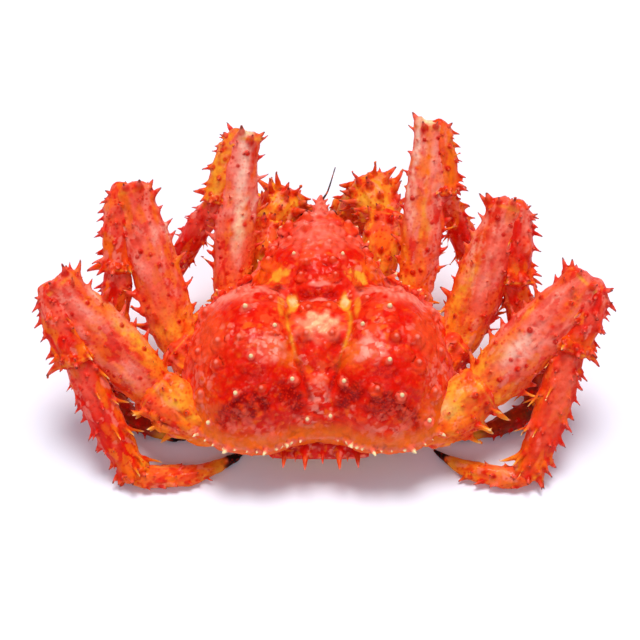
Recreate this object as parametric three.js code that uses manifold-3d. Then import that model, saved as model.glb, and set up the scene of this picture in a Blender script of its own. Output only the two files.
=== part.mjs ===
// A whole cooked king crab with its legs folded up against its sides, standing on their last segments.
// Millimetres, +Z up, the head towards +Y. Every piece of shell is its own named mesh: the carapace, the
// thorax and abdomen under it, three pairs of walking legs and one pair of claws, each limb in five
// segments, and the eyes, antennae and mouth limbs under the rostrum.
import * as THREE from "three";
import { mergeVertices } from "three/addons/utils/BufferGeometryUtils.js";
import Module from "manifold-3d";

const wasm = await Module();
wasm.setup();

// ---- Driving dimensions ----

const JOINT_GAP = 0.8; // clearance between neighbouring pieces of shell
const BOX_CENTRE = [3, 26.2]; // X and Y of the middle of the whole crab, in the body's own coordinates
const BROAD_FACE = new THREE.Vector3(0, -0.64, 0.77); // the way the broad side of most segments looks
const TOP_FACE = new THREE.Vector3(0, 0, 1); // and that of the last segments, which lie on the ground
const MITER_LIMIT = 3; // how many times further a point may move than its faces when a cutter is grown
const MERGE_DISTANCE = 1e-4; // corners closer than this are one
const WELD_LENGTH = 0.04; // edges shorter than this are drawn together
const SMOOTHING = 0.1; // how far a face may move when needless points are taken out

// The joints of each limb, from the body outwards. side is -1 for the crab's left and +1 for its right.
const LEGS = {
  leg_rear_left: {
    side: -1,
    girth: 0.97,
    hip: [-64, -43, 27],
    thigh: [-91, -25, 40],
    knee: [-144, 13, 87],
    wrist: [-132, -18, 58],
    heel: [-102, -59, 6.2],
    tip: [-44, -41, 2],
  },
  leg_rear_right: {
    side: 1,
    girth: 1,
    hip: [62, -43, 27],
    thigh: [91, -25, 40],
    knee: [148, 15, 87],
    wrist: [138, -12, 60],
    heel: [116, -59, 6.4],
    tip: [65, -38, 2],
  },
  leg_middle_left: {
    side: -1,
    girth: 0.88,
    hip: [-58, -8, 28],
    thigh: [-80, 6, 42],
    knee: [-106, 68.5, 105],
    wrist: [-113, 36, 72],
    heel: [-121, -2, 8],
    tip: [-74, -31, 2],
  },
  leg_middle_right: {
    side: 1,
    girth: 0.88,
    hip: [58, -6, 28],
    thigh: [80, 8, 42],
    knee: [106, 58, 103],
    wrist: [110, 29, 70],
    heel: [126, -8, 8],
    tip: [74, -29, 2],
  },
  leg_front_left: {
    side: -1,
    girth: 0.74,
    hip: [-46, 22, 32],
    thigh: [-52, 42, 46],
    knee: [-42.5, 103, 113],
    wrist: [-59, 78, 84],
    heel: [-90, 66, 26],
    tip: [-76, 44, 1.6],
  },
  leg_front_right: {
    side: 1,
    girth: 0.74,
    hip: [48, 22, 32],
    thigh: [56, 42, 46],
    knee: [64.5, 108, 116],
    wrist: [72, 82, 87],
    heel: [94, 68, 26],
    tip: [78, 46, 1.6],
  },
};
const CLAWS = {
  claw_left: {
    side: -1,
    hip: [-28, 42, 32],
    thigh: [-32, 56, 42],
    elbow: [-32, 86, 56],
    wrist: [-19, 105, 59],
    tip: [-9, 106, 12],
    knuckle: [-12, 113, 42],
    fingerTip: [-5, 107, 15],
  },
  claw_right: {
    side: 1,
    hip: [28, 42, 32],
    thigh: [33, 56, 42],
    elbow: [40, 88, 62],
    wrist: [28, 108, 66],
    tip: [11, 108, 12],
    knuckle: [15, 115, 44],
    fingerTip: [7, 109, 15],
  },
};

// Half widths of a segment at its start, at its widest place and at its end. peak says how far along the
// widest place is, flat is its depth over its width, bend how far its middle bows outwards, and fold is -1
// for the segments that run back down beyond the knee, whose outer edge is on the other hand.
const FORMS = {
  base: { radii: [10, 15, 13], peak: 0.6, flat: 0.9, bend: 0, fold: 1 },
  merus: { radii: [12, 15.5, 10.5], peak: 0.38, flat: 0.74, bend: 0, fold: 1 },
  carpus: { radii: [7.5, 9, 10], peak: 0.55, flat: 0.86, bend: 2, fold: -1 },
  propodus: { radii: [8.6, 10.2, 7.6], peak: 0.4, flat: 0.8, bend: 1.5, fold: -1 },
  dactyl: { radii: [6.5, 5.8, 0.8], peak: 0.3, flat: 0.9, bend: 6.5, fold: -1 },
  claw_base: { radii: [8, 10, 9], peak: 0.6, flat: 0.9, bend: 0, fold: 1 },
  claw_merus: { radii: [9, 12.5, 11.5], peak: 0.6, flat: 0.9, bend: 0, fold: 1 },
  claw_carpus: { radii: [9, 14, 12], peak: 0.55, flat: 0.9, bend: 0, fold: 1 },
  palm: { radii: [9, 12.5, 1.2], peak: 0.3, flat: 0.72, bend: 2, fold: -1 },
  finger: { radii: [6, 4.6, 1], peak: 0.3, flat: 0.85, bend: 2, fold: 1 },
};

// Rows of spines along each kind of segment. around is the angle from its outer edge, 90 being the broad
// face; from and to are shares of its length, and lean is how far a spine tips towards the far end.
const SPINES = {
  base: [{ around: 150, count: 2, from: 0.45, to: 0.85, length: 6, lean: 0.5 }],
  merus: [
    { around: 0, count: 5, from: 0.14, to: 0.95, length: 7, lean: 0.5 },
    { around: 180, count: 5, from: 0.1, to: 0.95, length: 8, lean: 0.5 },
    { around: 62, count: 3, from: 0.25, to: 0.94, length: 5, lean: 0.4 },
    { around: 118, count: 3, from: 0.15, to: 0.92, length: 5, lean: 0.4 },
  ],
  carpus: [
    { around: 0, count: 4, from: 0.12, to: 0.92, length: 7.5, lean: 0.4 },
    { around: 60, count: 2, from: 0.3, to: 0.9, length: 5, lean: 0.4 },
    { around: 300, count: 2, from: 0.3, to: 0.8, length: 6, lean: 0.4 },
  ],
  propodus: [
    { around: 0, count: 5, from: 0.14, to: 0.95, length: 7, lean: 0.5 },
    { around: 90, count: 3, from: 0.2, to: 0.8, length: 5, lean: 0.9 },
    { around: 185, count: 3, from: 0.25, to: 0.85, length: 6.5, lean: 0.8 },
    { around: 300, count: 2, from: 0.3, to: 0.8, length: 6, lean: 0.5 },
  ],
  dactyl: [{ around: 0, count: 3, from: 0.2, to: 0.6, length: 4.5, lean: 0.9 }],
  claw_base: [],
  claw_merus: [
    { around: 20, count: 2, from: 0.5, to: 0.92, length: 6, lean: 0.4 },
    { around: 90, count: 2, from: 0.4, to: 0.9, length: 6, lean: 0.4 },
    { around: 170, count: 2, from: 0.5, to: 0.92, length: 6, lean: 0.4 },
  ],
  claw_carpus: [
    { around: 0, count: 3, from: 0.2, to: 0.9, length: 8, lean: 0.2 },
    { around: 60, count: 3, from: 0.1, to: 0.85, length: 7, lean: 0.2 },
    { around: 120, count: 3, from: 0.2, to: 0.9, length: 6, lean: 0.2 },
    { around: 180, count: 2, from: 0.3, to: 0.8, length: 6, lean: 0.2 },
  ],
  palm: [
    { around: 20, count: 3, from: 0.08, to: 0.5, length: 5, lean: 0.4 },
    { around: 90, count: 2, from: 0.12, to: 0.45, length: 4, lean: 0.4 },
  ],
  finger: [],
};
const LIMB_SIDES = 8;
const SEGMENT_ROWS = [0.05, 0.28, 0.52, 0.78, 1]; // shares of a segment's length that carry a ring of points
const HEAD_LENGTH = 0.75; // of a segment's tapered near end, over its half width there
const END_LENGTH = 0.35; // of its blunt far end, over its half width there
const CLAW_SEED = 40; // first counter for the scatter of the claws' spines
const KNEE_OFFSET = 5.5; // the segment after the knee starts this far off the line of the one before it
const SPINE = { sides: 3, girth: 0.27, sunk: 0.35 }; // base radius and depth of its root, over its length
const SPINE_SCATTER = { share: 0.05, degrees: 24, length: 0.4 }; // how unevenly the spines of a row stand

// The carapace's right half seen from above, from the rostrum's tip back to the notch over the abdomen.
const CARAPACE_OUTLINE = [
  [0, 88],
  [5, 86.5],
  [10, 83.5],
  [16, 80],
  [22, 74],
  [27, 65],
  [32, 55],
  [38, 47],
  [47, 40],
  [61, 32],
  [71, 16],
  [76, -6],
  [75, -28],
  [68, -46],
  [56, -57],
  [38, -61],
  [22, -59],
  [14, -54.5],
  [0, -53],
];
const CARAPACE_HUB = [0, -4]; // the plan point that the carapace's rows spread from
const CARAPACE_MESH = { around: 42, rows: 14, topRows: 10 };
const RIM_FULLNESS = 6; // the higher, the later the skin turns down towards the edge
const MARGIN = { backY: -40, back: 33, frontY: 90, front: 64 }; // height of the edge at the back and front
const SHELL_FLOOR = 28; // underside of the carapace block
const EDGE_THICKNESS = 4;
const UNDER_SLOPE = 70; // fall of the underside from the edge inwards until it meets the floor of the block
// Bulges of the carapace: x and y of the middle, the two half widths, and the height of foot and top.
const REGIONS = {
  branchial: { x: 37, y: -10, across: 43, along: 53, foot: 33, top: 84 },
  cardiac: { x: 0, y: -7, across: 19, along: 25, foot: 58, top: 80 },
  intestinal: { x: 0, y: -28, across: 22, along: 34, foot: 33, top: 67 },
  gastric: { x: 0, y: 44, across: 36, along: 38, foot: 44, top: 80 },
  hepatic: { x: 24, y: 46, across: 16, along: 20, foot: 48, top: 70 },
  rostral: { x: 0, y: 74, across: 22, along: 26, foot: 56, top: 74 },
};
const OUTLINE_SAMPLES = 180; // points of the outline that are tried when looking for a plan point's rim
const BLEND = 3; // how softly neighbouring bulges run together

const MARGIN_SPINES = { count: 12, from: 0.22, to: 0.93, length: 5, girth: 0.4, sunk: 0.5, up: 8, lift: 1 };
const TUBERCLE = { girth: 0.42, sunk: 0.3, lean: 0.006, uprightAt: 20, rim: 0.97 };
// Plan position and length of each tubercle on the carapace's right half.
const TUBERCLES = [
  [8, 79, 6],
  [17, 75, 6],
  [7, 67, 4],
  [26, 56, 4],
  [17, 58, 4.5],
  [5, 51, 3.5],
  [28, 46, 4],
  [14, 43, 3.5],
  [7, 37, 3.5],
  [10, 29, 3],
  [45, 19, 3.5],
  [62, 12, 4.5],
  [26, 8, 3.5],
  [6, 4, 3.5],
  [39, -1, 4.5],
  [24, -13, 4],
  [7, -15, 3.5],
  [66, -16, 4],
  [53, -19, 4.5],
  [42, -22, 4],
  [54, -31, 4],
  [71, -31, 4],
  [37, -33, 4],
  [14, -38, 4],
  [63, -38, 4],
  [45, -46, 4],
  [30, -46, 3.5],
  [7, -48, 3.5],
  [57, -49, 4],
];

const ROSTRUM = { root: [0, 78, 62], tip: [1, 101, 65], radius: 8, sides: 8 };
const THORAX = { centre: [0, -4], halfWidth: 48, halfLength: 43, top: 27, bottom: 12.5 };
const THORAX_MESH = { taper: 0.8, sides: 16 }; // taper is the width of its underside over that of its top
// The stubs that carry the limbs: radius at the thorax and at the hip, the height of their root, and where
// they start, as shares of the way out to the hip.
const COXA = { root: 13, tip: 9.5, height: 22.9, startX: 0.5, startY: 0.7, reach: 1.06, sides: 8 };
// The abdomen's middle line, from under the carapace's back edge round and forwards under the thorax.
const ABDOMEN_LINE = [
  [0, -48, 27],
  [0, -53, 26],
  [0, -55, 21],
  [0, -48, 12.5],
  [0, -30, 9],
  [0, -6, 8.6],
  [0, 16, 9.4],
];
const ABDOMEN_HALF_WIDTHS = [22, 26, 28, 27, 23, 16, 6];
const ABDOMEN = { thickness: 4, steps: 12, edge: 0.5 }; // edge: the share of the thickness lost at the sides
const ABDOMEN_SPINE = { radius: 1.6, sunk: 3, spread: 0.004, drop: 0.12 };
// Foot and length of each spine along the fold at the abdomen's back.
const ABDOMEN_SPINES = [
  [-18, -56, 24, 7],
  [-7, -57, 24, 10],
  [11, -57, 24, 10],
  [20, -56, 24, 8],
  [-30, -53, 24, 4],
  [33, -53, 24, 4],
];

const TUBE_END = 0.02; // share of a tube's length in each of its end cones
const EYES = { root: [8, 76, 58.5], tip: [8.5, 88, 62.5], radii: [2.2, 2.5] };
const ANTENNAE = {
  antenna_left: [
    [-14, 72, 55],
    [-17, 90, 51],
    [-16, 102, 35],
  ],
  antenna_right: [
    [3, 84, 61],
    [2, 96, 66],
    [5, 100, 70],
    [9.5, 106, 84],
  ],
};
const ANTENNA_RADII = [1.4, 0.6];
const MOUTH_LIMB = { root: [9, 38, 21], bend: [10, 72, 31], tip: [6, 84, 15], radii: [5.2, 2.6] };

const SHELL_RED = { color: 0xe8401f, roughness: 0.42, metalness: 0 };
const LEG_RED = { color: 0xec4a22, roughness: 0.42, metalness: 0 };
const BELLY_CREAM = { color: 0xf0a060, roughness: 0.5, metalness: 0 };
const CLAW_ORANGE = { color: 0xee5a24, roughness: 0.42, metalness: 0 };
const EYE_BLACK = { color: 0x241412, roughness: 0.2, metalness: 0 };
const HORN_BROWN = { color: 0x8a5a3c, roughness: 0.4, metalness: 0 };

// ---- Solids ----

// A closed geometry as a solid that can be joined and cut, its skin pushed outwards by a distance.
function solidFrom(geometry, grow = 0) {
  const bare = geometry.clone();
  bare.deleteAttribute("normal");
  bare.deleteAttribute("uv");
  const merged = mergeVertices(bare, MERGE_DISTANCE);
  if (grow > 0) inflate(merged, grow);
  const triVerts = new Uint32Array(merged.index.array);
  return new wasm.Manifold(
    new wasm.Mesh({ numProp: 3, vertProperties: merged.attributes.position.array, triVerts }),
  );
}

// Moves every point out along its normal, further where the faces round it are steep to that normal, so
// that each face ends up the whole distance away from where it was.
function inflate(geometry, distance) {
  geometry.computeVertexNormals();
  const { position, normal } = geometry.attributes;
  const index = geometry.index.array;
  const steepest = new Array(position.count).fill(1);
  const face = new THREE.Triangle();
  const faceNormal = new THREE.Vector3();
  const pointNormal = new THREE.Vector3();
  for (let i = 0; i < index.length; i += 3) {
    face.setFromAttributeAndIndices(position, index[i], index[i + 1], index[i + 2]);
    face.getNormal(faceNormal);
    for (const corner of index.slice(i, i + 3)) {
      const facing = faceNormal.dot(pointNormal.fromBufferAttribute(normal, corner));
      steepest[corner] = Math.min(steepest[corner], Math.max(facing, 1 / MITER_LIMIT));
    }
  }
  const point = new THREE.Vector3();
  for (let i = 0; i < position.count; i++) {
    point.fromBufferAttribute(position, i);
    point.addScaledVector(pointNormal.fromBufferAttribute(normal, i), distance / steepest[i]);
    position.setXYZ(i, point.x, point.y, point.z);
  }
}

// The triangles of a mesh with every edge shorter than the weld length drawn together into one point.
function weldedTriangles(positions, triangles) {
  const standIn = Array.from({ length: positions.length / 3 }, (_, i) => i);
  const find = (i) => (standIn[i] === i ? i : find(standIn[i]));
  const apart = (a, b) => Math.hypot(...[0, 1, 2].map((k) => positions[a * 3 + k] - positions[b * 3 + k]));
  for (let i = 0; i < triangles.length; i += 3) {
    for (const [a, b] of [
      [0, 1],
      [1, 2],
      [2, 0],
    ]) {
      const ends = [find(triangles[i + a]), find(triangles[i + b])];
      if (apart(...ends) < WELD_LENGTH) standIn[Math.max(...ends)] = Math.min(...ends);
    }
  }
  const kept = [];
  for (let i = 0; i < triangles.length; i += 3) {
    const corners = [...triangles.slice(i, i + 3)].map(find);
    if (new Set(corners).size === 3) kept.push(...corners);
  }
  return new Uint32Array(kept);
}

// A solid as a geometry.
function geometryFrom(solid) {
  const { numProp, numVert, vertProperties, triVerts } = solid.getMesh();
  const positions = new Float32Array(numVert * 3);
  for (let i = 0; i < numVert; i++) {
    positions.set(vertProperties.subarray(i * numProp, i * numProp + 3), i * 3);
  }
  const geometry = new THREE.BufferGeometry();
  geometry.setAttribute("position", new THREE.BufferAttribute(positions, 3));
  geometry.setIndex(new THREE.BufferAttribute(weldedTriangles(positions, triVerts), 1));
  geometry.computeVertexNormals();
  return geometry;
}

// The largest connected body of a solid, so that no loose scrap stays beside it.
function largestBody(solid) {
  const bodies = solid.decompose();
  return bodies.reduce((best, body) => (body.volume() > best.volume() ? body : best));
}

// A repeatable number from 0 to 1 for a pair of counters.
function scatter(a, b) {
  const value = Math.sin(a * 12.9898 + b * 78.233) * 43758.5453;
  return value - Math.floor(value);
}

function moveVertices(geometry, place) {
  const position = geometry.getAttribute("position");
  const point = new THREE.Vector3();
  for (let i = 0; i < position.count; i++) {
    point.fromBufferAttribute(position, i);
    place(point);
    position.setXYZ(i, point.x, point.y, point.z);
  }
  return geometry;
}

function cone(radius, height, at, direction, grow, sides = SPINE.sides) {
  const geometry = new THREE.ConeGeometry(radius, height, sides);
  geometry.translate(0, height / 2, 0);
  const turn = new THREE.Quaternion().setFromUnitVectors(new THREE.Vector3(0, 1, 0), direction);
  geometry.applyQuaternion(turn);
  geometry.translate(at.x, at.y, at.z);
  return solidFrom(geometry, grow);
}

// ---- Limbs ----

// A segment's own axes: +Y from its start to its end, +Z out of its broad face.
function placementOf(kind, from, to) {
  const broad = kind === "dactyl" ? TOP_FACE : BROAD_FACE;
  const start = new THREE.Vector3(...from);
  const along = new THREE.Vector3(...to).sub(start);
  const length = along.length();
  along.divideScalar(length);
  const face = broad.clone().addScaledVector(along, -broad.dot(along)).normalize();
  const across = new THREE.Vector3().crossVectors(along, face);
  const matrix = new THREE.Matrix4().makeBasis(across, along, face).setPosition(start);
  return { matrix, length };
}

// Half width of a segment at a share of its length, between its three stated half widths.
function widthAt(form, share) {
  const [start, middle, end] = form.radii;
  const rising = share < form.peak;
  const part = rising ? share / form.peak : (share - form.peak) / (1 - form.peak);
  const eased = rising ? Math.sin((part * Math.PI) / 2) : 1 - Math.cos((part * Math.PI) / 2);
  return rising ? start + (middle - start) * eased : middle + (end - middle) * eased;
}

// The bare segment: a flattened lathe shape with a round head and a blunt far end.
function bareSegment({ kind, side, girth, length }, grow) {
  const form = FORMS[kind];
  const profile = [new THREE.Vector2(0, -form.radii[0] * girth * HEAD_LENGTH)];
  for (const share of SEGMENT_ROWS) {
    profile.push(new THREE.Vector2(widthAt(form, share) * girth, share * length));
  }
  profile.push(new THREE.Vector2(0, length + form.radii[2] * girth * END_LENGTH));
  const body = new THREE.LatheGeometry(profile, LIMB_SIDES);
  moveVertices(body, (p) => {
    p.z *= form.flat;
    p.x += bowAt(form, p.y / length) * side;
  });
  return solidFrom(body, grow);
}

// Sideways shift of a segment's middle line at a share of its length.
function bowAt(form, share) {
  const inside = THREE.MathUtils.clamp(share, 0, 1);
  return form.bend * form.fold * 4 * inside * (1 - inside);
}

// Whether a point in space lies inside a bare segment.
function isInside(point, { kind, girth, side, length, matrix }) {
  const form = FORMS[kind];
  const local = point.clone().applyMatrix4(matrix.clone().invert());
  const share = local.y / length;
  if (share < 0 || share > 1) return false;
  return Math.hypot(local.x - bowAt(form, share) * side, local.z / form.flat) < widthAt(form, share) * girth;
}

// The spines of a segment in its own axes: foot, direction, length.
function spinesOf({ kind, side, girth, length, seed }) {
  const form = FORMS[kind];
  return SPINES[kind].flatMap((row, rowIndex) =>
    Array.from({ length: row.count }, (_, i) => {
      const chance = scatter(seed + rowIndex * 7, i + 1) - 0.5;
      const even = row.from + ((row.to - row.from) * i) / (row.count - 1);
      const share = even + chance * SPINE_SCATTER.share;
      const angle = THREE.MathUtils.degToRad(row.around + chance * SPINE_SCATTER.degrees);
      const uneven = 1 + SPINE_SCATTER.length * (scatter(seed + 3, i + rowIndex * 11) - 0.5);
      const tall = row.length * uneven * girth;
      const radius = widthAt(form, share) * girth;
      const out = new THREE.Vector3(side * form.fold * Math.cos(angle), 0, Math.sin(angle) * form.flat);
      const foot = new THREE.Vector3(out.x * radius, share * length, out.z * radius);
      foot.x += bowAt(form, share) * side;
      const direction = new THREE.Vector3(out.x, row.lean, out.z / form.flat ** 2).normalize();
      return { foot, direction, tall };
    }),
  );
}

// A segment with its spines, leaving out those that a neighbour would cover.
function segment(piece, neighbours, grow) {
  let solid = bareSegment(piece, grow);
  for (const { foot, direction, tall } of spinesOf(piece)) {
    const tip = foot.clone().addScaledVector(direction, tall).applyMatrix4(piece.matrix);
    if (neighbours.some((other) => other !== piece && isInside(tip, other))) continue;
    const root = foot.clone().addScaledVector(direction, -tall * SPINE.sunk);
    const whole = tall * (1 + SPINE.sunk);
    solid = solid.add(cone(whole * SPINE.girth, whole, root, direction, grow));
  }
  return solid.transform(piece.matrix.elements);
}

// ---- Carapace ----

function smoothMax(heights) {
  const top = Math.max(...heights);
  return top + BLEND * Math.log(heights.reduce((sum, h) => sum + Math.exp((h - top) / BLEND), 0));
}

function bulge(region, x, y) {
  const spread = ((Math.abs(x) - region.x) / region.across) ** 2 + ((y - region.y) / region.along) ** 2;
  const rise = region.top - region.foot;
  return spread < 1 ? region.foot + rise * Math.sqrt(1 - spread) : region.foot - rise * (spread - 1);
}

function marginHeight(y) {
  const share = THREE.MathUtils.smoothstep(y, MARGIN.backY, MARGIN.frontY);
  return MARGIN.back + (MARGIN.front - MARGIN.back) * share;
}

// Height of the carapace's skin over a plan point that lies a share of the way out to its edge.
function shellHeight(x, y, share) {
  const margin = marginHeight(y);
  const domed = smoothMax(Object.values(REGIONS).map((region) => bulge(region, x, y)));
  return margin + Math.max(domed - margin, 1) * Math.sqrt(1 - share ** RIM_FULLNESS);
}

function outlineCurve() {
  const right = CARAPACE_OUTLINE.map(([x, y]) => new THREE.Vector3(x, y, 0));
  const left = right.slice(1, -1).reverse();
  const mirrored = left.map((p) => new THREE.Vector3(-p.x, p.y, 0));
  return new THREE.CatmullRomCurve3([...right, ...mirrored], true, "centripetal");
}

// The share of the way out from the hub to the edge at which a plan point lies.
function shareAt(outline, x, y) {
  const away = new THREE.Vector2(x - CARAPACE_HUB[0], y - CARAPACE_HUB[1]);
  const rims = outline.getPoints(OUTLINE_SAMPLES);
  const rimVectors = rims.map((p) => new THREE.Vector2(p.x - CARAPACE_HUB[0], p.y - CARAPACE_HUB[1]));
  const facing = (v) => v.dot(away) / v.length();
  const rim = rimVectors.reduce((best, v) => (facing(v) > facing(best) ? v : best));
  return away.length() / rim.length();
}

// The bare carapace: rows of points spread from the hub to the outline on top, and back underneath.
function carapaceBlock(outline, grow) {
  const { around, rows, topRows } = CARAPACE_MESH;
  const geometry = new THREE.SphereGeometry(1, around, rows);
  moveVertices(geometry, (p) => {
    const row = (Math.acos(THREE.MathUtils.clamp(p.y, -1, 1)) / Math.PI) * rows;
    const turn = (Math.atan2(p.z, p.x) / (2 * Math.PI) + 1) % 1;
    const edge = outline.getPoint(turn);
    const above = Math.round(row) <= topRows;
    const share = above ? Math.min(row / topRows, 1) : (rows - row) / (rows - topRows);
    const x = CARAPACE_HUB[0] + (edge.x - CARAPACE_HUB[0]) * share;
    const y = CARAPACE_HUB[1] + (edge.y - CARAPACE_HUB[1]) * share;
    const under = Math.max(marginHeight(y) - EDGE_THICKNESS - (1 - share) * UNDER_SLOPE, SHELL_FLOOR);
    p.set(x, y, above ? shellHeight(x, y, share) : under);
  });
  return solidFrom(geometry, grow);
}

function rostrum(grow) {
  const root = new THREE.Vector3(...ROSTRUM.root);
  const along = new THREE.Vector3(...ROSTRUM.tip).sub(root);
  return cone(ROSTRUM.radius, along.length(), root, along.normalize(), grow, ROSTRUM.sides);
}

function tubercle([x, y, length], side, outline, grow) {
  const height = shellHeight(x, y, Math.min(shareAt(outline, x, y), TUBERCLE.rim));
  const lean = new THREE.Vector3(side * x * TUBERCLE.lean, (y - TUBERCLE.uprightAt) * TUBERCLE.lean, 1);
  const root = new THREE.Vector3(side * x, y, height - length * TUBERCLE.sunk);
  return cone(length * TUBERCLE.girth, length * (1 + TUBERCLE.sunk), root, lean.normalize(), grow);
}

function marginSpine(index, side, outline, grow) {
  const { count, from, to, girth, sunk, up, lift } = MARGIN_SPINES;
  const turn = (from + ((to - from) * index) / (count - 1)) / 2;
  const edge = outline.getPoint(side > 0 ? turn : 1 - turn);
  const out = new THREE.Vector3(edge.x - CARAPACE_HUB[0], edge.y - CARAPACE_HUB[1], up).normalize();
  const length = MARGIN_SPINES.length * (1 + SPINE_SCATTER.length * (scatter(index, 5) - 0.5));
  edge.z = marginHeight(edge.y) + lift;
  edge.addScaledVector(out, -length * sunk);
  return cone(length * girth, length * (1 + sunk), edge, out, grow);
}

function carapace(grow) {
  const outline = outlineCurve();
  let solid = carapaceBlock(outline, grow).add(rostrum(grow));
  for (const side of [-1, 1]) {
    for (const spot of TUBERCLES) solid = solid.add(tubercle(spot, side, outline, grow));
    for (let i = 0; i < MARGIN_SPINES.count; i++) solid = solid.add(marginSpine(i, side, outline, grow));
  }
  return solid;
}

// ---- Thorax, abdomen and head ----

function coxa(hip, grow) {
  const end = new THREE.Vector3(...hip);
  const start = new THREE.Vector3(end.x * COXA.startX, end.y * COXA.startY, COXA.height);
  const along = end.sub(start);
  const stub = new THREE.CylinderGeometry(COXA.tip, COXA.root, along.length() * COXA.reach, COXA.sides);
  stub.translate(0, along.length() / 2, 0);
  const turn = new THREE.Quaternion().setFromUnitVectors(new THREE.Vector3(0, 1, 0), along.normalize());
  stub.applyQuaternion(turn).translate(start.x, start.y, start.z);
  return solidFrom(stub, grow);
}

function thorax(grow) {
  const { centre, halfWidth, halfLength, top, bottom } = THORAX;
  const block = new THREE.CylinderGeometry(1, THORAX_MESH.taper, top - bottom, THORAX_MESH.sides);
  block.rotateX(Math.PI / 2).scale(halfWidth, halfLength, 1);
  block.translate(...centre, (top + bottom) / 2);
  const hips = [...Object.values(LEGS), ...Object.values(CLAWS)].map((limb) => limb.hip);
  return hips.reduce((solid, hip) => solid.add(coxa(hip, grow)), solidFrom(block, grow));
}

// A value at a share of the way along a list of evenly spaced ones.
function between(values, share) {
  const slot = Math.min(Math.floor(share * (values.length - 1)), values.length - 2);
  return THREE.MathUtils.lerp(values[slot], values[slot + 1], share * (values.length - 1) - slot);
}

function abdomenSpine([x, y, z, length], grow) {
  const { radius, sunk, spread, drop } = ABDOMEN_SPINE;
  const back = new THREE.Vector3(x * spread, -1, -drop).normalize();
  const root = new THREE.Vector3(x, y, z).addScaledVector(back, -sunk);
  return cone(radius, length + sunk, root, back, grow);
}

function abdomen(grow) {
  const line = new THREE.CatmullRomCurve3(ABDOMEN_LINE.map((p) => new THREE.Vector3(...p)));
  const plate = new THREE.BoxGeometry(2, 1, 1, 2, ABDOMEN.steps, 1);
  moveVertices(plate, (p) => {
    const share = p.y + 0.5;
    const out = new THREE.Vector3(1, 0, 0).cross(line.getTangent(share)).normalize();
    const depth = ABDOMEN.thickness * (1 - ABDOMEN.edge * p.x * p.x) * p.z;
    const at = line.getPoint(share).addScaledVector(out, depth);
    p.set(p.x * between(ABDOMEN_HALF_WIDTHS, share), at.y, at.z);
  });
  const spines = ABDOMEN_SPINES.map((spine) => abdomenSpine(spine, grow));
  return spines.reduce((solid, spine) => solid.add(spine), solidFrom(plate, grow));
}

// A tapering tube through a list of points, closed to a flat cone at both ends.
function tube(points, radii, { sides = 6, steps = 8, grow = 0 } = {}) {
  const line = new THREE.CatmullRomCurve3(points.map((p) => new THREE.Vector3(...p)));
  const profile = [new THREE.Vector2(0, 0)];
  for (let i = 0; i <= steps; i++) {
    const radius = THREE.MathUtils.lerp(radii[0], radii[1], i / steps);
    profile.push(new THREE.Vector2(radius, THREE.MathUtils.lerp(TUBE_END, 1 - TUBE_END, i / steps)));
  }
  profile.push(new THREE.Vector2(0, 1));
  const geometry = new THREE.LatheGeometry(profile, sides);
  moveVertices(geometry, (p) => {
    const along = line.getTangent(p.y);
    const across = new THREE.Vector3(1, 0, 0).cross(along).normalize();
    const third = new THREE.Vector3().crossVectors(along, across);
    p.copy(line.getPoint(p.y).addScaledVector(third, p.x).addScaledVector(across, p.z));
  });
  return solidFrom(geometry, grow);
}

// ---- The pieces, in the order in which each is cut back from the ones before it ----

function mirrored([x, y, z], side) {
  return [x * side, y, z];
}

// A point beside a joint, moved off the line of the segment before it towards where the limb goes next.
function besideJoint(before, joint, after, distance) {
  const [a, b, c] = [before, joint, after].map((p) => new THREE.Vector3(...p));
  const along = b.clone().sub(a).normalize();
  const away = c.sub(b);
  away.addScaledVector(along, -away.dot(along)).normalize();
  return b.addScaledVector(away, distance).toArray();
}

function limbPiece(limb, part, kind, from, to, { side, girth = 1 }, seed) {
  const material = limb.startsWith("claw") ? CLAW_ORANGE : LEG_RED;
  const placement = placementOf(kind, from, to);
  return { name: `${limb}_${part}`, limb, kind, side, girth, seed, material, ...placement };
}

function legPieces() {
  return Object.entries(LEGS).flatMap(([name, leg], index) => {
    const { hip, thigh, knee, wrist, heel, tip } = leg;
    const bent = besideJoint(thigh, knee, wrist, KNEE_OFFSET * leg.girth);
    const chain = [
      ["base", hip, thigh],
      ["merus", thigh, knee],
      ["carpus", bent, wrist],
      ["propodus", wrist, heel],
      ["dactyl", heel, tip],
    ];
    const firstSeed = index * chain.length;
    return chain.map(([kind, from, to], i) => limbPiece(name, kind, kind, from, to, leg, firstSeed + i));
  });
}

function clawPieces() {
  return Object.entries(CLAWS).flatMap(([name, claw], index) => {
    const { hip, thigh, elbow, wrist, knuckle, tip, fingerTip } = claw;
    const chain = [
      ["base", "claw_base", hip, thigh],
      ["merus", "claw_merus", thigh, elbow],
      ["carpus", "claw_carpus", elbow, wrist],
      ["palm", "palm", wrist, tip],
      ["finger", "finger", knuckle, fingerTip],
    ];
    const firstSeed = CLAW_SEED + index * chain.length;
    return chain.map(([part, kind, from, to], i) =>
      limbPiece(name, part, kind, from, to, claw, firstSeed + i),
    );
  });
}

function limbPieces() {
  const limbs = [...legPieces(), ...clawPieces()];
  return limbs.map((piece) => ({ ...piece, shape: (grow) => segment(piece, limbs, grow) }));
}

function pairedHeadPieces(word, side) {
  const eyeLine = [mirrored(EYES.root, side), mirrored(EYES.tip, side)];
  const mouthLine = [MOUTH_LIMB.root, MOUTH_LIMB.bend, MOUTH_LIMB.tip].map((p) => mirrored(p, side));
  return [
    {
      name: `eye_${word}`,
      material: EYE_BLACK,
      at: eyeLine[0],
      shape: (grow) => tube(eyeLine, EYES.radii, { grow, steps: 3, sides: 8 }),
    },
    {
      name: `mouth_limb_${word}`,
      material: BELLY_CREAM,
      at: mouthLine[0],
      shape: (grow) => tube(mouthLine, MOUTH_LIMB.radii, { grow }),
    },
  ];
}

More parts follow.
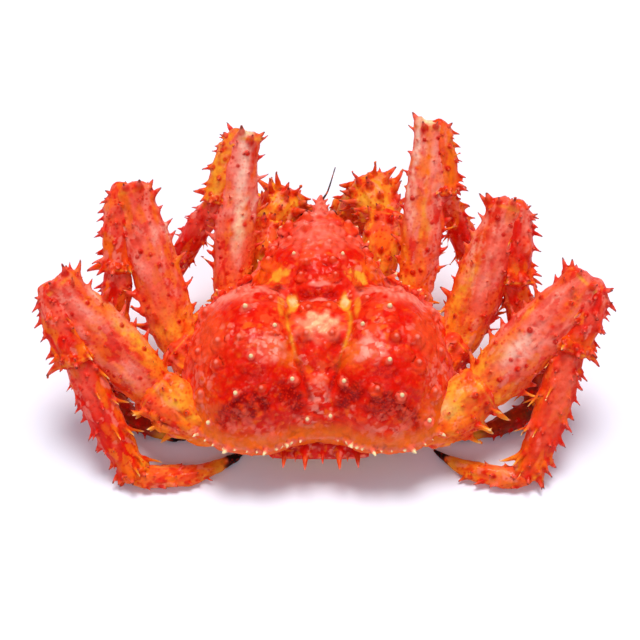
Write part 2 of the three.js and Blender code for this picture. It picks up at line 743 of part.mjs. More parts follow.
function antennaPieces() {
  return Object.entries(ANTENNAE).map(([name, line]) => ({
    name,
    material: HORN_BROWN,
    at: line[0],
    shape: (grow) => tube(line, ANTENNA_RADII, { grow, sides: 5 }),
  }));
}

function allPieces() {
  return [
    { name: "carapace", material: SHELL_RED, at: [...CARAPACE_HUB, SHELL_FLOOR], shape: carapace },
    { name: "thorax", material: BELLY_CREAM, at: [...THORAX.centre, THORAX.top], shape: thorax },
    { name: "abdomen", material: SHELL_RED, at: ABDOMEN_LINE[0], shape: abdomen },
    ...limbPieces(),
    ...pairedHeadPieces("left", -1),
    ...pairedHeadPieces("right", 1),
    ...antennaPieces(),
  ];
}

function areApart(a, b) {
  return [0, 1, 2].some((k) => a.min[k] > b.max[k] || b.min[k] > a.max[k]);
}

// Each piece's solid, flat where it meets the ground and clear of the pieces before it.
function cutSolids(pieces) {
  const cutters = [];
  return pieces.map((piece) => {
    let solid = piece.shape(0).trimByPlane([0, 0, 1], 0);
    const box = solid.boundingBox();
    for (const cutter of cutters) {
      if (!areApart(box, cutter.boundingBox())) solid = solid.subtract(cutter);
    }
    cutters.push(piece.shape(JOINT_GAP));
    return largestBody(solid).asOriginal().simplify(SMOOTHING);
  });
}

function meshFrom(piece, solid) {
  const place = piece.matrix ?? new THREE.Matrix4().setPosition(...piece.at);
  const geometry = geometryFrom(solid).applyMatrix4(place.clone().invert());
  const mesh = new THREE.Mesh(geometry, new THREE.MeshStandardMaterial(piece.material));
  mesh.name = piece.name;
  place.decompose(mesh.position, mesh.quaternion, mesh.scale);
  return mesh;
}

function assemble() {
  const crab = new THREE.Group();
  crab.name = "king_crab";
  crab.position.set(-BOX_CENTRE[0], -BOX_CENTRE[1], 0);
  const limbs = new Map();
  for (const name of [...Object.keys(LEGS), ...Object.keys(CLAWS)]) {
    const limb = new THREE.Group();
    limb.name = name;
    limbs.set(name, limb);
    crab.add(limb);
  }
  const pieces = allPieces();
  const solids = cutSolids(pieces);
  pieces.forEach((piece, i) => (limbs.get(piece.limb) ?? crab).add(meshFrom(piece, solids[i])));
  return crab;
}

export default assemble();
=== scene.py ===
"""The looks of a whole cooked king crab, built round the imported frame.

Sizes are millimetres in the crab's own coordinates, x to its right, y towards its head and z up, until a
mesh is made, which is in metres in the frame. Each piece of shell is put together from simple closed forms,
fused into one skin by a voxel remesh, and then shaped and painted point by point.
"""

import itertools
import math

import bpy
import numpy as np
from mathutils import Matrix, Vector


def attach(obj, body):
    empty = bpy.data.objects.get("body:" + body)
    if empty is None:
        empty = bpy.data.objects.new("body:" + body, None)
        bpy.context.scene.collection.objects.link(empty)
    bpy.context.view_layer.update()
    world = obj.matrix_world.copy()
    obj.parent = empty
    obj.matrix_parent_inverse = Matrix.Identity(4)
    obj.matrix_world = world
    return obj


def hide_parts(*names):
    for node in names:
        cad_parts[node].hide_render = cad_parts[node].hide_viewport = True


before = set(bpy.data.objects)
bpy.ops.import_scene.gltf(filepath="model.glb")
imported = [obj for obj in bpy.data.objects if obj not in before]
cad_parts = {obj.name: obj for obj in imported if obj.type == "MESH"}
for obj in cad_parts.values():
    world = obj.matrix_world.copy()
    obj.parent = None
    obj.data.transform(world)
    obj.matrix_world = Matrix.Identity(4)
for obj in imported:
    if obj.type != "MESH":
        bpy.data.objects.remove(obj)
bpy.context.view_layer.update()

MM = 0.001
BOX_CENTRE = np.array([3.0, 26.2, 0.0])  # of the whole crab, in its own coordinates

# ---- The skeleton ----

BROAD_FACE = np.array([0.0, -0.64, 0.77])  # the way the broad side of most segments looks
TOP_FACE = np.array([0.0, 0.0, 1.0])  # and that of the last segments, which lie on the ground
KNEE_OFFSET = 5.5  # the segment after the knee starts this far off the line of the one before it

# The joints of each limb, from the body outwards. side is -1 for the crab's left and +1 for its right.
LEGS = {
    "leg_rear_left": dict(
        side=-1, girth=0.97, hip=(-64, -43, 27), thigh=(-91, -25, 40), knee=(-144, 13, 87),
        wrist=(-132, -18, 58), heel=(-102, -59, 6.2), tip=(-44, -41, 2),
    ),
    "leg_rear_right": dict(
        side=1, girth=1.0, hip=(62, -43, 27), thigh=(91, -25, 40), knee=(148, 15, 87),
        wrist=(138, -12, 60), heel=(116, -59, 6.4), tip=(65, -38, 2),
    ),
    "leg_middle_left": dict(
        side=-1, girth=0.88, hip=(-58, -8, 28), thigh=(-80, 6, 42), knee=(-106, 68.5, 105),
        wrist=(-113, 36, 72), heel=(-121, -2, 8), tip=(-74, -31, 2),
    ),
    "leg_middle_right": dict(
        side=1, girth=0.88, hip=(58, -6, 28), thigh=(80, 8, 42), knee=(106, 58, 103),
        wrist=(110, 29, 70), heel=(126, -8, 8), tip=(74, -29, 2),
    ),
    "leg_front_left": dict(
        side=-1, girth=0.74, hip=(-46, 22, 32), thigh=(-52, 42, 46), knee=(-42.5, 103, 113),
        wrist=(-59, 78, 84), heel=(-90, 66, 26), tip=(-76, 44, 1.6),
    ),
    "leg_front_right": dict(
        side=1, girth=0.74, hip=(48, 22, 32), thigh=(56, 42, 46), knee=(64.5, 108, 116),
        wrist=(72, 82, 87), heel=(94, 68, 26), tip=(78, 46, 1.6),
    ),
}
CLAWS = {
    "claw_left": dict(
        side=-1, hip=(-28, 42, 32), thigh=(-32, 56, 42), elbow=(-32, 86, 56), wrist=(-19, 105, 59),
        tip=(-9, 106, 12), knuckle=(-12, 113, 42), finger_tip=(-5, 107, 15),
    ),
    "claw_right": dict(
        side=1, hip=(28, 42, 32), thigh=(33, 56, 42), elbow=(40, 88, 62), wrist=(28, 108, 66),
        tip=(11, 108, 12), knuckle=(15, 115, 44), finger_tip=(7, 109, 15),
    ),
}
CLAW_SEED = 40  # first counter for the scatter of the claws' spines
SPOTTED = dict(leg=0.5, claw=0.9)  # share of the spines with a vivid red foot

# Half widths of a segment at its start, widest place and end, where along it the widest place is, its depth
# over its width, how far its middle bows outwards, and -1 for segments that run back down beyond the knee.
# keel is how sharp its two edges are, and rim how far its far end flares.
FORMS = {
    "base": dict(radii=(10, 15, 13), peak=0.6, flat=0.9, bend=0, fold=1, keel=0.0, rim=0.05),
    "merus": dict(radii=(12, 15.5, 10.5), peak=0.38, flat=0.74, bend=0, fold=1, keel=0.03, rim=0.08),
    "carpus": dict(radii=(7.5, 9, 10), peak=0.55, flat=0.86, bend=2, fold=-1, keel=0.02, rim=0.08),
    "propodus": dict(radii=(8.1, 9.4, 7.4), peak=0.4, flat=0.8, bend=1.5, fold=-1, keel=0.03, rim=0.1),
    "dactyl": dict(radii=(6.5, 5.8, 0.8), peak=0.3, flat=0.9, bend=6.5, fold=-1, keel=0.1, rim=0.0),
    "claw_base": dict(radii=(8, 10, 9), peak=0.6, flat=0.9, bend=0, fold=1, keel=0.0, rim=0.05),
    "claw_merus": dict(radii=(9, 12.5, 11.5), peak=0.6, flat=0.9, bend=0, fold=1, keel=0.0, rim=0.08),
    "claw_carpus": dict(radii=(9, 14, 12), peak=0.55, flat=0.9, bend=0, fold=1, keel=0.0, rim=0.06),
    "palm": dict(radii=(9, 12.5, 1.2), peak=0.3, flat=0.72, bend=2, fold=-1, keel=0.0, rim=0.0),
    "finger": dict(radii=(6, 4.6, 1), peak=0.3, flat=0.85, bend=2, fold=1, keel=0.08, rim=0.0),
}
# The ends of a segment: places along it and half widths there, over the half width at that end. The joint end
# of the thin segments is hollow, with its places in mm.
START_CAP = [(-0.7, 0.25), (-0.55, 0.55), (-0.3, 0.8)]
ROUND_END = [(0.12, 0.93), (0.24, 0.72), (0.31, 0.4)]
HOLLOW_END = [(1.3, 1.0), (1.6, 0.9), (-2.4, 0.78), (-2.8, 0.3)]
RIM = dict(at=0.97, spread=0.06)
WAIST = dict(at=0.86, spread=0.05, depth=0.05)  # just before the rim
SEGMENT_ROWS = 44
SEGMENT_SIDES = 56

# Rows of large spines: angle from the outer edge (90 is the broad face), count, first and last share of the
# length, length, and lean towards the far end.
SPINES = {
    "base": [(345, 3, 0.4, 0.95, 10, 0.2), (30, 2, 0.6, 0.9, 7, 0.4)],
    "merus": [
        (0, 5, 0.14, 0.95, 8, 0.5), (180, 5, 0.1, 0.95, 8.5, 0.5), (62, 3, 0.25, 0.94, 5, 0.4),
        (118, 3, 0.15, 0.92, 5, 0.4),
    ],
    "carpus": [
        (0, 4, 0.12, 0.75, 6, 0.4), (345, 1, 0.93, 0.93, 10, 0.3), (15, 1, 0.86, 0.86, 8.5, 0.2),
        (60, 2, 0.3, 0.9, 5, 0.4), (300, 2, 0.3, 0.8, 6, 0.4),
    ],
    "propodus": [
        (0, 5, 0.14, 0.9, 5.5, 0.5), (350, 1, 0.99, 0.99, 10, 1.5), (30, 3, 0.25, 0.85, 4.4, 0.7),
        (300, 2, 0.3, 0.8, 5.5, 0.5),
    ],
    "dactyl": [(0, 3, 0.2, 0.6, 4.5, 0.9)],
    "claw_base": [],
    "claw_merus": [
        (20, 2, 0.5, 0.92, 6, 0.4), (90, 2, 0.4, 0.9, 6, 0.4), (170, 2, 0.5, 0.92, 6, 0.4),
    ],
    "claw_carpus": [
        (0, 3, 0.15, 0.95, 9, 0.2), (45, 3, 0.3, 0.95, 9, 0.2), (90, 2, 0.7, 0.97, 9, 0.3),
        (135, 3, 0.3, 0.95, 9, 0.2), (180, 2, 0.3, 0.8, 7, 0.2),
    ],
    "palm": [
        (20, 3, 0.08, 0.5, 5, 0.4), (90, 2, 0.12, 0.45, 4, 0.4),
    ],
    "finger": [],
}

# Rows of lesser spines and warts between them.
WARTS = {
    "base": [
        (60, 3, 0.3, 0.9, 3.2, 0.3), (100, 3, 0.35, 0.85, 3.4, 0.3), (190, 2, 0.5, 0.9, 4, 0.4),
        (20, 2, 0.5, 0.9, 3.6, 0.4),
    ],
    "merus": [
        (0, 4, 0.24, 0.85, 6.5, 0.5), (180, 4, 0.2, 0.85, 4.6, 0.5), (30, 5, 0.1, 0.93, 2.8, 0.4),
        (52, 3, 0.3, 0.85, 2.2, 0.3), (75, 3, 0.12, 0.8, 2.4, 0.4), (100, 3, 0.3, 0.9, 2.2, 0.4),
        (128, 3, 0.15, 0.8, 2.6, 0.4), (152, 5, 0.1, 0.93, 2.8, 0.4), (215, 5, 0.12, 0.92, 4, 0.4),
        (250, 4, 0.2, 0.85, 3, 0.4), (290, 4, 0.2, 0.85, 3, 0.4), (328, 5, 0.12, 0.92, 6, 0.4),
    ],
    "carpus": [
        (0, 3, 0.25, 0.8, 4.6, 0.4), (30, 3, 0.15, 0.9, 3.6, 0.4), (90, 4, 0.12, 0.92, 3.6, 0.4),
        (130, 3, 0.2, 0.9, 3.8, 0.4), (180, 4, 0.15, 0.92, 5, 0.4), (225, 3, 0.2, 0.9, 4, 0.4),
        (260, 3, 0.2, 0.9, 3.4, 0.4),
    ],
    "propodus": [
        (0, 4, 0.24, 0.85, 4.8, 0.5), (35, 5, 0.1, 0.9, 3.6, 0.5), (65, 4, 0.2, 0.95, 3.0, 0.8),
        (105, 4, 0.12, 0.9, 3.0, 0.9), (150, 4, 0.1, 0.92, 3.0, 0.8), (225, 4, 0.2, 0.9, 4, 0.5),
        (265, 4, 0.15, 0.85, 3.2, 0.5), (330, 5, 0.15, 0.9, 4.2, 0.5),
    ],
    "dactyl": [
        (0, 3, 0.08, 0.5, 3.6, 0.9), (50, 3, 0.1, 0.5, 2.6, 0.9), (110, 2, 0.1, 0.4, 2.6, 0.9),
        (170, 3, 0.08, 0.4, 3, 0.9),
    ],
    "claw_base": [(90, 2, 0.4, 0.85, 3, 0.3)],
    "claw_merus": [
        (55, 3, 0.3, 0.92, 4, 0.3), (130, 3, 0.3, 0.92, 4, 0.3), (220, 2, 0.4, 0.9, 3.6, 0.3),
        (320, 2, 0.4, 0.9, 3.6, 0.3),
    ],
    "claw_carpus": [
        (30, 4, 0.08, 0.92, 5, 0.2), (90, 4, 0.05, 0.92, 5, 0.2), (150, 4, 0.1, 0.92, 5, 0.2),
        (215, 3, 0.2, 0.9, 4.6, 0.2), (255, 3, 0.2, 0.9, 4, 0.2), (310, 3, 0.2, 0.9, 4.6, 0.2),
    ],
    "palm": [
        (0, 4, 0.06, 0.5, 3.6, 0.4), (55, 3, 0.06, 0.5, 3.6, 0.4), (130, 4, 0.06, 0.55, 3.6, 0.4),
        (180, 3, 0.1, 0.5, 4.6, 0.4), (230, 3, 0.1, 0.5, 3.6, 0.4), (290, 3, 0.1, 0.5, 3.6, 0.4),
    ],
    "finger": [(20, 3, 0.1, 0.5, 2.6, 0.4), (120, 3, 0.1, 0.5, 2.6, 0.4)],
}

# Rows of long thin pale spines that lie along the shell or stand in the gap inside the folded limb.
NEEDLES = {
    "merus": [(0, 4, 0.15, 0.8, 10, 0.3), (340, 3, 0.25, 0.9, 9, 0.4)],
    "carpus": [(180, 3, 0.2, 0.85, 8, 0.5), (130, 2, 0.4, 0.9, 7, 1.2)],
    "propodus": [(185, 4, 0.15, 0.9, 9.5, 0.7), (150, 4, 0.1, 0.85, 9, 1.5), (110, 3, 0.25, 0.9, 8.5, 1.8)],
}

KNEE_SPINES = dict(rear=5.5, middle=6.5, front=8)  # length of the largest round each pair of knees
# Spines round the far end of a segment: count, share, length, lean.
RING_SPINES = {
    "merus": (7, 0.99, 8.0, 1.0),
    "carpus": (7, 0.96, 5.5, 0.8),
    "propodus": (7, 0.97, 5.5, 1.0),
    "claw_merus": (6, 0.95, 4.6, 0.8),
    "claw_carpus": (6, 0.94, 4.6, 0.7),
}
# How far the spines of a row stray along the segment, round it and in length.
SPINE_SCATTER = dict(share=0.06, degrees=24, length=0.5)
# Radius of the root of each kind of spine over its length.
STOUT = dict(
    large=0.22, wart=0.33, needle=0.13, ring=0.36, margin=0.34, denticle=0.45, rostrum=0.3, abdomen=0.2,
)
# Low rounded lumps of the skins: size and depth.
LUMPS = dict(base=[(9, 2.6), (4, 1.0)], limb=[(6, 0.9), (3, 0.45)], carapace=[(8, 1.0), (4, 0.45), (2, 0.2)])
LUMP_STRETCH = (1, 0.5, 1)  # a limb's lumps and scales are twice as long along it as they are wide

# ---- The carapace ----

# Its right half seen from above, from the rostrum's tip back to the notch over the abdomen.
CARAPACE_OUTLINE = [
    (0, 88), (5, 86.5), (10, 83.5), (16, 80), (22, 74), (27, 65), (32, 55), (38, 47), (47, 40), (61, 32),
    (71, 16), (76, -6), (75, -28), (68, -46), (56, -57), (38, -61), (22, -59), (14, -54.5), (0, -53),
]
CARAPACE_HUB = np.array([0.0, -4.0])
RIM_FULLNESS = 6  # how squarely the dome comes down to its edge
MARGIN = dict(back_y=-40, back=33, front_y=90, front=64)  # height of the edge at two places along y
SHELL_FLOOR = 28  # the underside's height over the thorax
CARAPACE_ROWS = dict(top=110, under=26)
CARAPACE_SEED = 77  # counter for the scatter of its lumps
EDGE_THICKNESS = 4
UNDER_SLOPE = 70  # how far the underside would fall from the edge to the hub
BLEND = 4.5  # how softly neighbouring bulges run together
# Bulges: x and y of the middle, the two half widths, and the height of foot and top.
REGIONS = dict(
    branchial=(37, -10, 43, 53, 33, 84),
    cardiac=(0, -7, 19, 25, 58, 80),
    intestinal=(0, -28, 22, 34, 33, 67),
    gastric=(0, 44, 36, 38, 44, 80),
    hepatic=(24, 46, 16, 20, 48, 70),
    rostral=(0, 74, 22, 26, 56, 74),
)
# Grooves of the right half: their course in plan, depth and half width.
GROOVES = [
    ([(13, 14), (17, 0), (17, -10), (13, -24), (8, -36), (4, -44)], 1.6, 2.2),
    ([(0, 17), (8, 18), (14, 20), (21, 29), (29, 36), (37, 44)], 1.0, 3.0),
    ([(14, 18), (24, 14), (36, 22), (46, 29)], 0.8, 3.0),
]
# Spines along each half of the edge, from front to back, and small teeth along its back part.
MARGIN_SPINES = dict(count=12, first=0.22, last=0.93, length=5, up=8)
DENTICLES = dict(count=30, first=0.42, last=0.98, length=1.8, extra=1.4)
# A tubercle leans outwards by so much for each mm from the middle line and from one place along y.
TUBERCLE = dict(lean=0.006, upright_at=20, rim=0.97, stout_cream=0.55, stout_pink=0.85)
# Plan position and length of each tubercle on the carapace's right half, and whether its tip is cream.
TUBERCLES = [
    (8, 79, 5, 0), (17, 75, 5, 0), (7, 67, 4, 0), (26, 56, 4, 0), (17, 58, 4.5, 0), (5, 51, 3.5, 0),
    (28, 46, 4, 0), (14, 43, 3.5, 1), (7, 37, 3.5, 0), (10, 29, 3, 0), (45, 19, 3.5, 0), (62, 12, 4.5, 0),
    (26, 8, 3.5, 0), (6, 4, 3.5, 0), (39, -1, 4.5, 1), (24, -13, 4, 1), (7, -15, 3.5, 0), (66, -16, 4, 0),
    (53, -19, 4.5, 0), (42, -22, 4, 0), (54, -31, 4, 0), (71, -31, 4, 1), (37, -33, 4, 1), (14, -38, 4, 1),
    (63, -38, 4, 0), (45, -46, 4, 1), (30, -46, 3.5, 0), (7, -50, 3.5, 1), (59, -50, 4, 1),
]
# The beak: its ends and radii, and the shares of its length at which its spines stand.
ROSTRUM = dict(root=(0, 78, 62), tip=(1, 101, 65), radii=(8, 0.6), spines=(0.25, 0.5, 0.72), length=4.5)

# ---- Underside and head ----

THORAX = dict(centre=(0, -4), half_width=48, half_length=43, top=27, bottom=12.5)
THORAX_ROWS = [(0.0, 0.94), (0.08, 1.0), (0.7, 0.92), (0.92, 0.84), (1.0, 0.74)]  # shares of depth and width
# The stump from the thorax to each hip: radii, and its start's height and shares of the hip's x and y.
COXA = dict(root=13, tip=9.5, height=22.9, start_x=0.5, start_y=0.7)
# The abdomen's middle line, from under the back edge round and forwards below the body.
ABDOMEN_LINE = [
    (0, -48, 27), (0, -53, 26), (0, -55, 21), (0, -48, 12.5), (0, -30, 9), (0, -6, 8.6), (0, 16, 9.4),
]
ABDOMEN_HALF_WIDTHS = [22, 26, 28, 27, 23, 16, 6]
ABDOMEN_THICKNESS = 4
ABDOMEN_PLATES = 7
# Foot and length of each spine at its bend.
ABDOMEN_SPINES = [
    (-25, -55, 24, 5), (-19, -56, 24, 9.5), (-13, -57, 24, 5), (-7.5, -57, 24, 10), (2, -57, 24, 6),
    (11, -57, 24, 10), (15.5, -57, 24, 5), (21, -56, 24, 9.5), (27, -54, 24, 5),
]
EYE = dict(root=(8, 76, 58.5), tip=(8.5, 88, 62.5), radii=(2.2, 2.5))
ANTENNAE = {
    "antenna_left": [(-14, 72, 55), (-17, 90, 51), (-16, 102, 35)],
    "antenna_right": [(3, 84, 61), (2, 96, 66), (5, 100, 70), (9.5, 106, 84)],
}
ANTENNA_RADII = (0.9, 0.3)
MOUTH_LIMB = dict(root=(9, 38, 21), bend=(10, 72, 31), tip=(6, 84, 15), radii=(5.2, 2.6), joints=4)

HOLLOW_ROUNDS = 24  # rounds of smoothing that tell a hollow from its surroundings
VOXEL = dict(limb=0.7, carapace=0.65, belly=1.0)  # grain of the fused skins


# ---- Small mathematics ----


def unit(vector):
    return vector / np.linalg.norm(vector)


def smoothstep(low, high, value):
    share = np.clip((value - low) / (high - low), 0, 1)
    return share * share * (3 - 2 * share)


def bell(value, middle, width):
    return np.exp(-(((value - middle) / width) ** 2))


def scatter(a, b):
    """A repeatable number from 0 to 1 for a pair of counters."""
    value = math.sin(a * 12.9898 + b * 78.233) * 43758.5453
    return value - math.floor(value)


def waves(points, length, seed, count=9):
    """A smooth uneven field over points, mostly between -1 and 1, with lumps about one length apart."""
    rng = np.random.default_rng(seed)
    total = np.zeros(len(points))
    for _ in range(count):
        course = unit(rng.normal(size=3)) * 2 * math.pi / (length * rng.uniform(0.7, 1.5))
        total += np.sin(points @ course + rng.uniform(0, 2 * math.pi))
    return total / math.sqrt(count)


def chances(cells, seed):
    """Three repeatable numbers from 0 to 1 for each cell of a grid."""
    mixed = cells @ np.array([[127.1, 269.5, 419.2], [311.7, 183.3, 371.9], [74.7, 246.1, 132.8]])
    value = np.sin(mixed + seed) * 43758.5453
    return value - np.floor(value)


def grains(points, size, seed):
    """Distance to the nearest of grains scattered a size apart, over that size, and the grain's number."""
    grid = points / size
    base = np.floor(grid)
    nearest = np.full(len(points), 9.0)
    number = np.zeros(len(points))
    for step in itertools.product((-1, 0, 1), repeat=3):
        cells = base + step
        chance = chances(cells, seed)
        distance = np.linalg.norm(grid - cells - chance, axis=1)
        closer = distance < nearest
        nearest[closer] = distance[closer]
        number[closer] = chance[closer, 0]
    return nearest, number


def curve_through(points, samples, closed=False):
    """Points along a centripetal Catmull-Rom curve, the same number for each stretch."""
    points = np.array(points, float)
    if closed:
        chain = np.concatenate([points[-1:], points, points[:2]])
    else:
        chain = np.concatenate([[2 * points[0] - points[1]], points, [2 * points[-1] - points[-2]]])
    result = []
    for p0, p1, p2, p3 in zip(chain, chain[1:], chain[2:], chain[3:]):
        d0, d1, d2 = (max(np.linalg.norm(b - a) ** 0.5, 1e-4) for a, b in ((p0, p1), (p1, p2), (p2, p3)))
        m1 = (p1 - p0) / d0 - (p2 - p0) / (d0 + d1) + (p2 - p1) / d1
        m2 = (p2 - p1) / d1 - (p3 - p1) / (d1 + d2) + (p3 - p2) / d2
        t = np.linspace(0, 1, samples, endpoint=False)[:, None]
        rise = (m1 + m2) * d1 + 2 * (p1 - p2)
        turn = -(2 * m1 + m2) * d1 - 3 * (p1 - p2)
        result.append(p1 + m1 * d1 * t + turn * t ** 2 + rise * t ** 3)
    if not closed:
        result.append(points[-1:])
    return np.concatenate(result)


# ---- Closed shells of triangles ----


def closed_rings(rings):
    """A closed shell through rings of points, its ends drawn to the middles of the first and last ring."""
    count, around = rings.shape[:2]
    points = np.concatenate([rings.reshape(-1, 3), [rings[0].mean(0)], [rings[-1].mean(0)]])
    here = np.arange(around)
    after = (here + 1) % around
    row = (np.arange(count - 1) * around)[:, None]
    a, b = row + here, row + after
    c, d = a + around, b + around
    last = (count - 1) * around
    triangles = np.concatenate([
        np.stack([a, b, d], -1).reshape(-1, 3),
        np.stack([a, d, c], -1).reshape(-1, 3),
        np.stack([np.full(around, len(points) - 2), after, here], -1),
        np.stack([np.full(around, len(points) - 1), last + here, last + after], -1),
    ])
    corners = points[triangles] - points[0]
    volume = np.einsum("ij,ij->", corners[:, 0], np.cross(corners[:, 1], corners[:, 2]))
    return points, triangles if volume > 0 else triangles[:, ::-1]


def across(direction):
    """Two unit vectors at right angles to a direction."""
    first = unit(np.cross(direction, (0.3, 0.5, 0.81) if abs(direction[2]) < 0.9 else (1.0, 0, 0)))
    return first, np.cross(direction, first)


# Shares of a spine's height and its radius there over its root's: a flared foot, then a blunt horn.
SPINE_PROFILE = [(-0.3, 1.7), (-0.1, 1.5), (0.04, 1.2), (0.18, 0.96), (0.42, 0.74), (0.7, 0.5), (0.93, 0.24)]


def spine_shell(spine):
    first, second = across(spine["direction"])
    angles = np.linspace(0, 2 * math.pi, 10, endpoint=False)[:, None]
    circle = np.cos(angles) * first + np.sin(angles) * second
    rings = [
        spine["foot"] + spine["direction"] * spine["length"] * share + circle * spine["radius"] * width
        for share, width in SPINE_PROFILE
    ]
    return closed_rings(np.array(rings))


def tube_shell(line, radii, sides=14):
    """A round tube along a line of points, with round ends."""
    tangents = np.gradient(line, axis=0)
    tangents /= np.linalg.norm(tangents, axis=1)[:, None]
    angles = np.linspace(0, 2 * math.pi, sides, endpoint=False)[:, None]
    rings = []
    for at, along, radius in zip(line, tangents, radii):
        first, second = across(along)
        rings.append(at + radius * (np.cos(angles) * first + np.sin(angles) * second))
    for share in (0.8, 0.45):
        out = math.sqrt(1 - share * share)
        rings.insert(0, line[0] - tangents[0] * radii[0] * out + (rings[0] - line[0]) * share)
        rings.append(line[-1] + tangents[-1] * radii[-1] * out + (rings[-1] - line[-1]) * share)
    ordered = [rings[1], rings[0], *rings[2:]]
    return closed_rings(np.array(ordered))


def mesh_from(name, points, triangles):
    mesh = bpy.data.meshes.new(name)
    mesh.vertices.add(len(points))
    mesh.vertices.foreach_set("co", ((points - BOX_CENTRE) * MM).ravel())
    mesh.loops.add(triangles.size)
    mesh.loops.foreach_set("vertex_index", triangles.ravel())
    mesh.polygons.add(len(triangles))
    mesh.polygons.foreach_set("loop_start", np.arange(0, triangles.size, 3))
    mesh.update(calc_edges=True)
    return mesh


def fuse(name, shells, voxel, relax):
    """One object whose skin is the union of closed shells."""
    points = np.concatenate([shell[0] for shell in shells])
    starts = np.cumsum([0] + [len(shell[0]) for shell in shells[:-1]])
    triangles = np.concatenate([shell[1] + start for shell, start in zip(shells, starts)])
    rough = mesh_from(name, points, triangles)
    piece = bpy.data.objects.new(name, rough)
    bpy.context.scene.collection.objects.link(piece)
    if voxel:
        remesh = piece.modifiers.new("fuse", "REMESH")
        remesh.mode = "VOXEL"
        remesh.voxel_size = voxel * MM
        smooth = piece.modifiers.new("relax", "SMOOTH")
        smooth.factor = 0.5
        smooth.iterations = relax
        graph = bpy.context.evaluated_depsgraph_get()
        fused = bpy.data.meshes.new_from_object(piece.evaluated_get(graph))
        piece.modifiers.clear()
        piece.data = fused
        bpy.data.meshes.remove(rough)
        fused.name = name
    piece.data.shade_smooth()
    return piece


def points_of(piece):
    """The points of a piece in the crab's own millimetres."""
    flat = np.empty(len(piece.data.vertices) * 3)
    piece.data.vertices.foreach_get("co", flat)
    return flat.reshape(-1, 3) / MM + BOX_CENTRE


def normals_of(piece):
    flat = np.empty(len(piece.data.vertices) * 3)
    piece.data.vertices.foreach_get("normal", flat)
    return flat.reshape(-1, 3)


class Neighbours:
    """The edges of a piece's mesh, for averaging over the neighbours of each point."""

    def __init__(self, mesh):
        ends = np.empty(len(mesh.edges) * 2, int)
        mesh.edges.foreach_get("vertices", ends)
        first, second = ends.reshape(-1, 2).T
        self.here = np.concatenate([first, second])
        self.there = np.concatenate([second, first])
        self.count = len(mesh.vertices)
        self.share = 1 / np.bincount(self.here, minlength=self.count).clip(1)

    def spread(self, values, rounds):
        for _ in range(rounds):
            values = np.bincount(self.here, values[self.there], self.count) * self.share
        return values


def hollows(points, normals, neighbours, rounds):
    """How far each point lies below its smoothed surroundings, in mm."""
    smooth = np.column_stack([neighbours.spread(points[:, i], rounds) for i in range(3)])
    return ((smooth - points) * normals).sum(1)


def set_points(piece, points):
    piece.data.vertices.foreach_set("co", ((points - BOX_CENTRE) * MM).ravel())
    piece.data.update()


# ---- Spines on a fused skin ----


def spine_at(foot, direction, length, stout=0.26, tip="dark", bend=(0, 0, 0), spot=0.5):
    """stout is the root's radius over the length, bend the sideways way of its top over the length, and spot
    how red the shell is round its foot."""
    return dict(
        foot=np.array(foot, float), direction=unit(np.array(direction, float)), length=length,
        radius=length * stout, tip=tip, bend=np.array(bend, float), spot=spot,
    )


def near_spine(points, spine):
    """The indices of the points round a spine, their height over its length and their way off its axis."""
    reach = spine["length"] * 1.2 + spine["radius"] * 2.5
    near = np.flatnonzero((np.abs(points - spine["foot"]) < reach).all(1))
    away = points[near] - spine["foot"]
    height = away @ spine["direction"]
    side = away - height[:, None] * spine["direction"]
    return near, height / spine["length"], side


def sharpen(points, spines):
    """Draws each spine out to its full length and narrows its tip, which the voxels have blunted."""
    for spine in spines:
        near, height, side = near_spine(points, spine)
        distance = np.linalg.norm(side, axis=1)
        upper = (height > 0.3) & (distance < spine["radius"] * 1.4 * (1.15 - height).clip(0.1) + 0.7)
        if not upper.any():
            continue
        stretch = max(0.7 / max(height[upper].max() - 0.3, 0.1), 1.0)
        taller = 0.3 + (height[upper] - 0.3) * stretch
        width = spine["radius"] * (0.1 + 0.86 * (1.02 - taller).clip(0) ** 0.8) + 0.1
        scale = np.minimum(width / distance[upper].clip(1e-3), 1)
        moved = spine["foot"] + spine["direction"] * (taller * spine["length"])[:, None]
        moved += side[upper] * scale[:, None]
        moved += spine["bend"] * (spine["length"] * (taller - 0.3) ** 2)[:, None]
        points[near[upper]] = moved
    return points


def spine_fields(points, spines):
    """Each point's height up its spine and nearness to a spine's foot, and a mask for each kind of tip."""
    height_field = np.zeros(len(points))
    foot_field = np.zeros(len(points))
    tips = np.zeros(len(points), int)
    kinds = sorted({spine["tip"] for spine in spines})
    for spine in spines:
        near, height, side = near_spine(points, spine)
        distance = np.linalg.norm(side, axis=1)
        inside = distance < spine["radius"] * 1.6 * (1.1 - height).clip(0.12) + 0.5
        rise = np.where(inside, height.clip(0, 1), 0)
        better = rise > height_field[near]
        height_field[near[better]] = rise[better]
        tips[near[better]] = kinds.index(spine["tip"])
        ring = np.exp(-((distance / (0.7 + spine["radius"] * 0.85)) ** 2) - (height * 1.6) ** 2)
        foot_field[near] = np.maximum(foot_field[near], ring * spine["spot"])
    return height_field, foot_field, {kind: tips == i for i, kind in enumerate(kinds)}


# ---- Limb segments ----


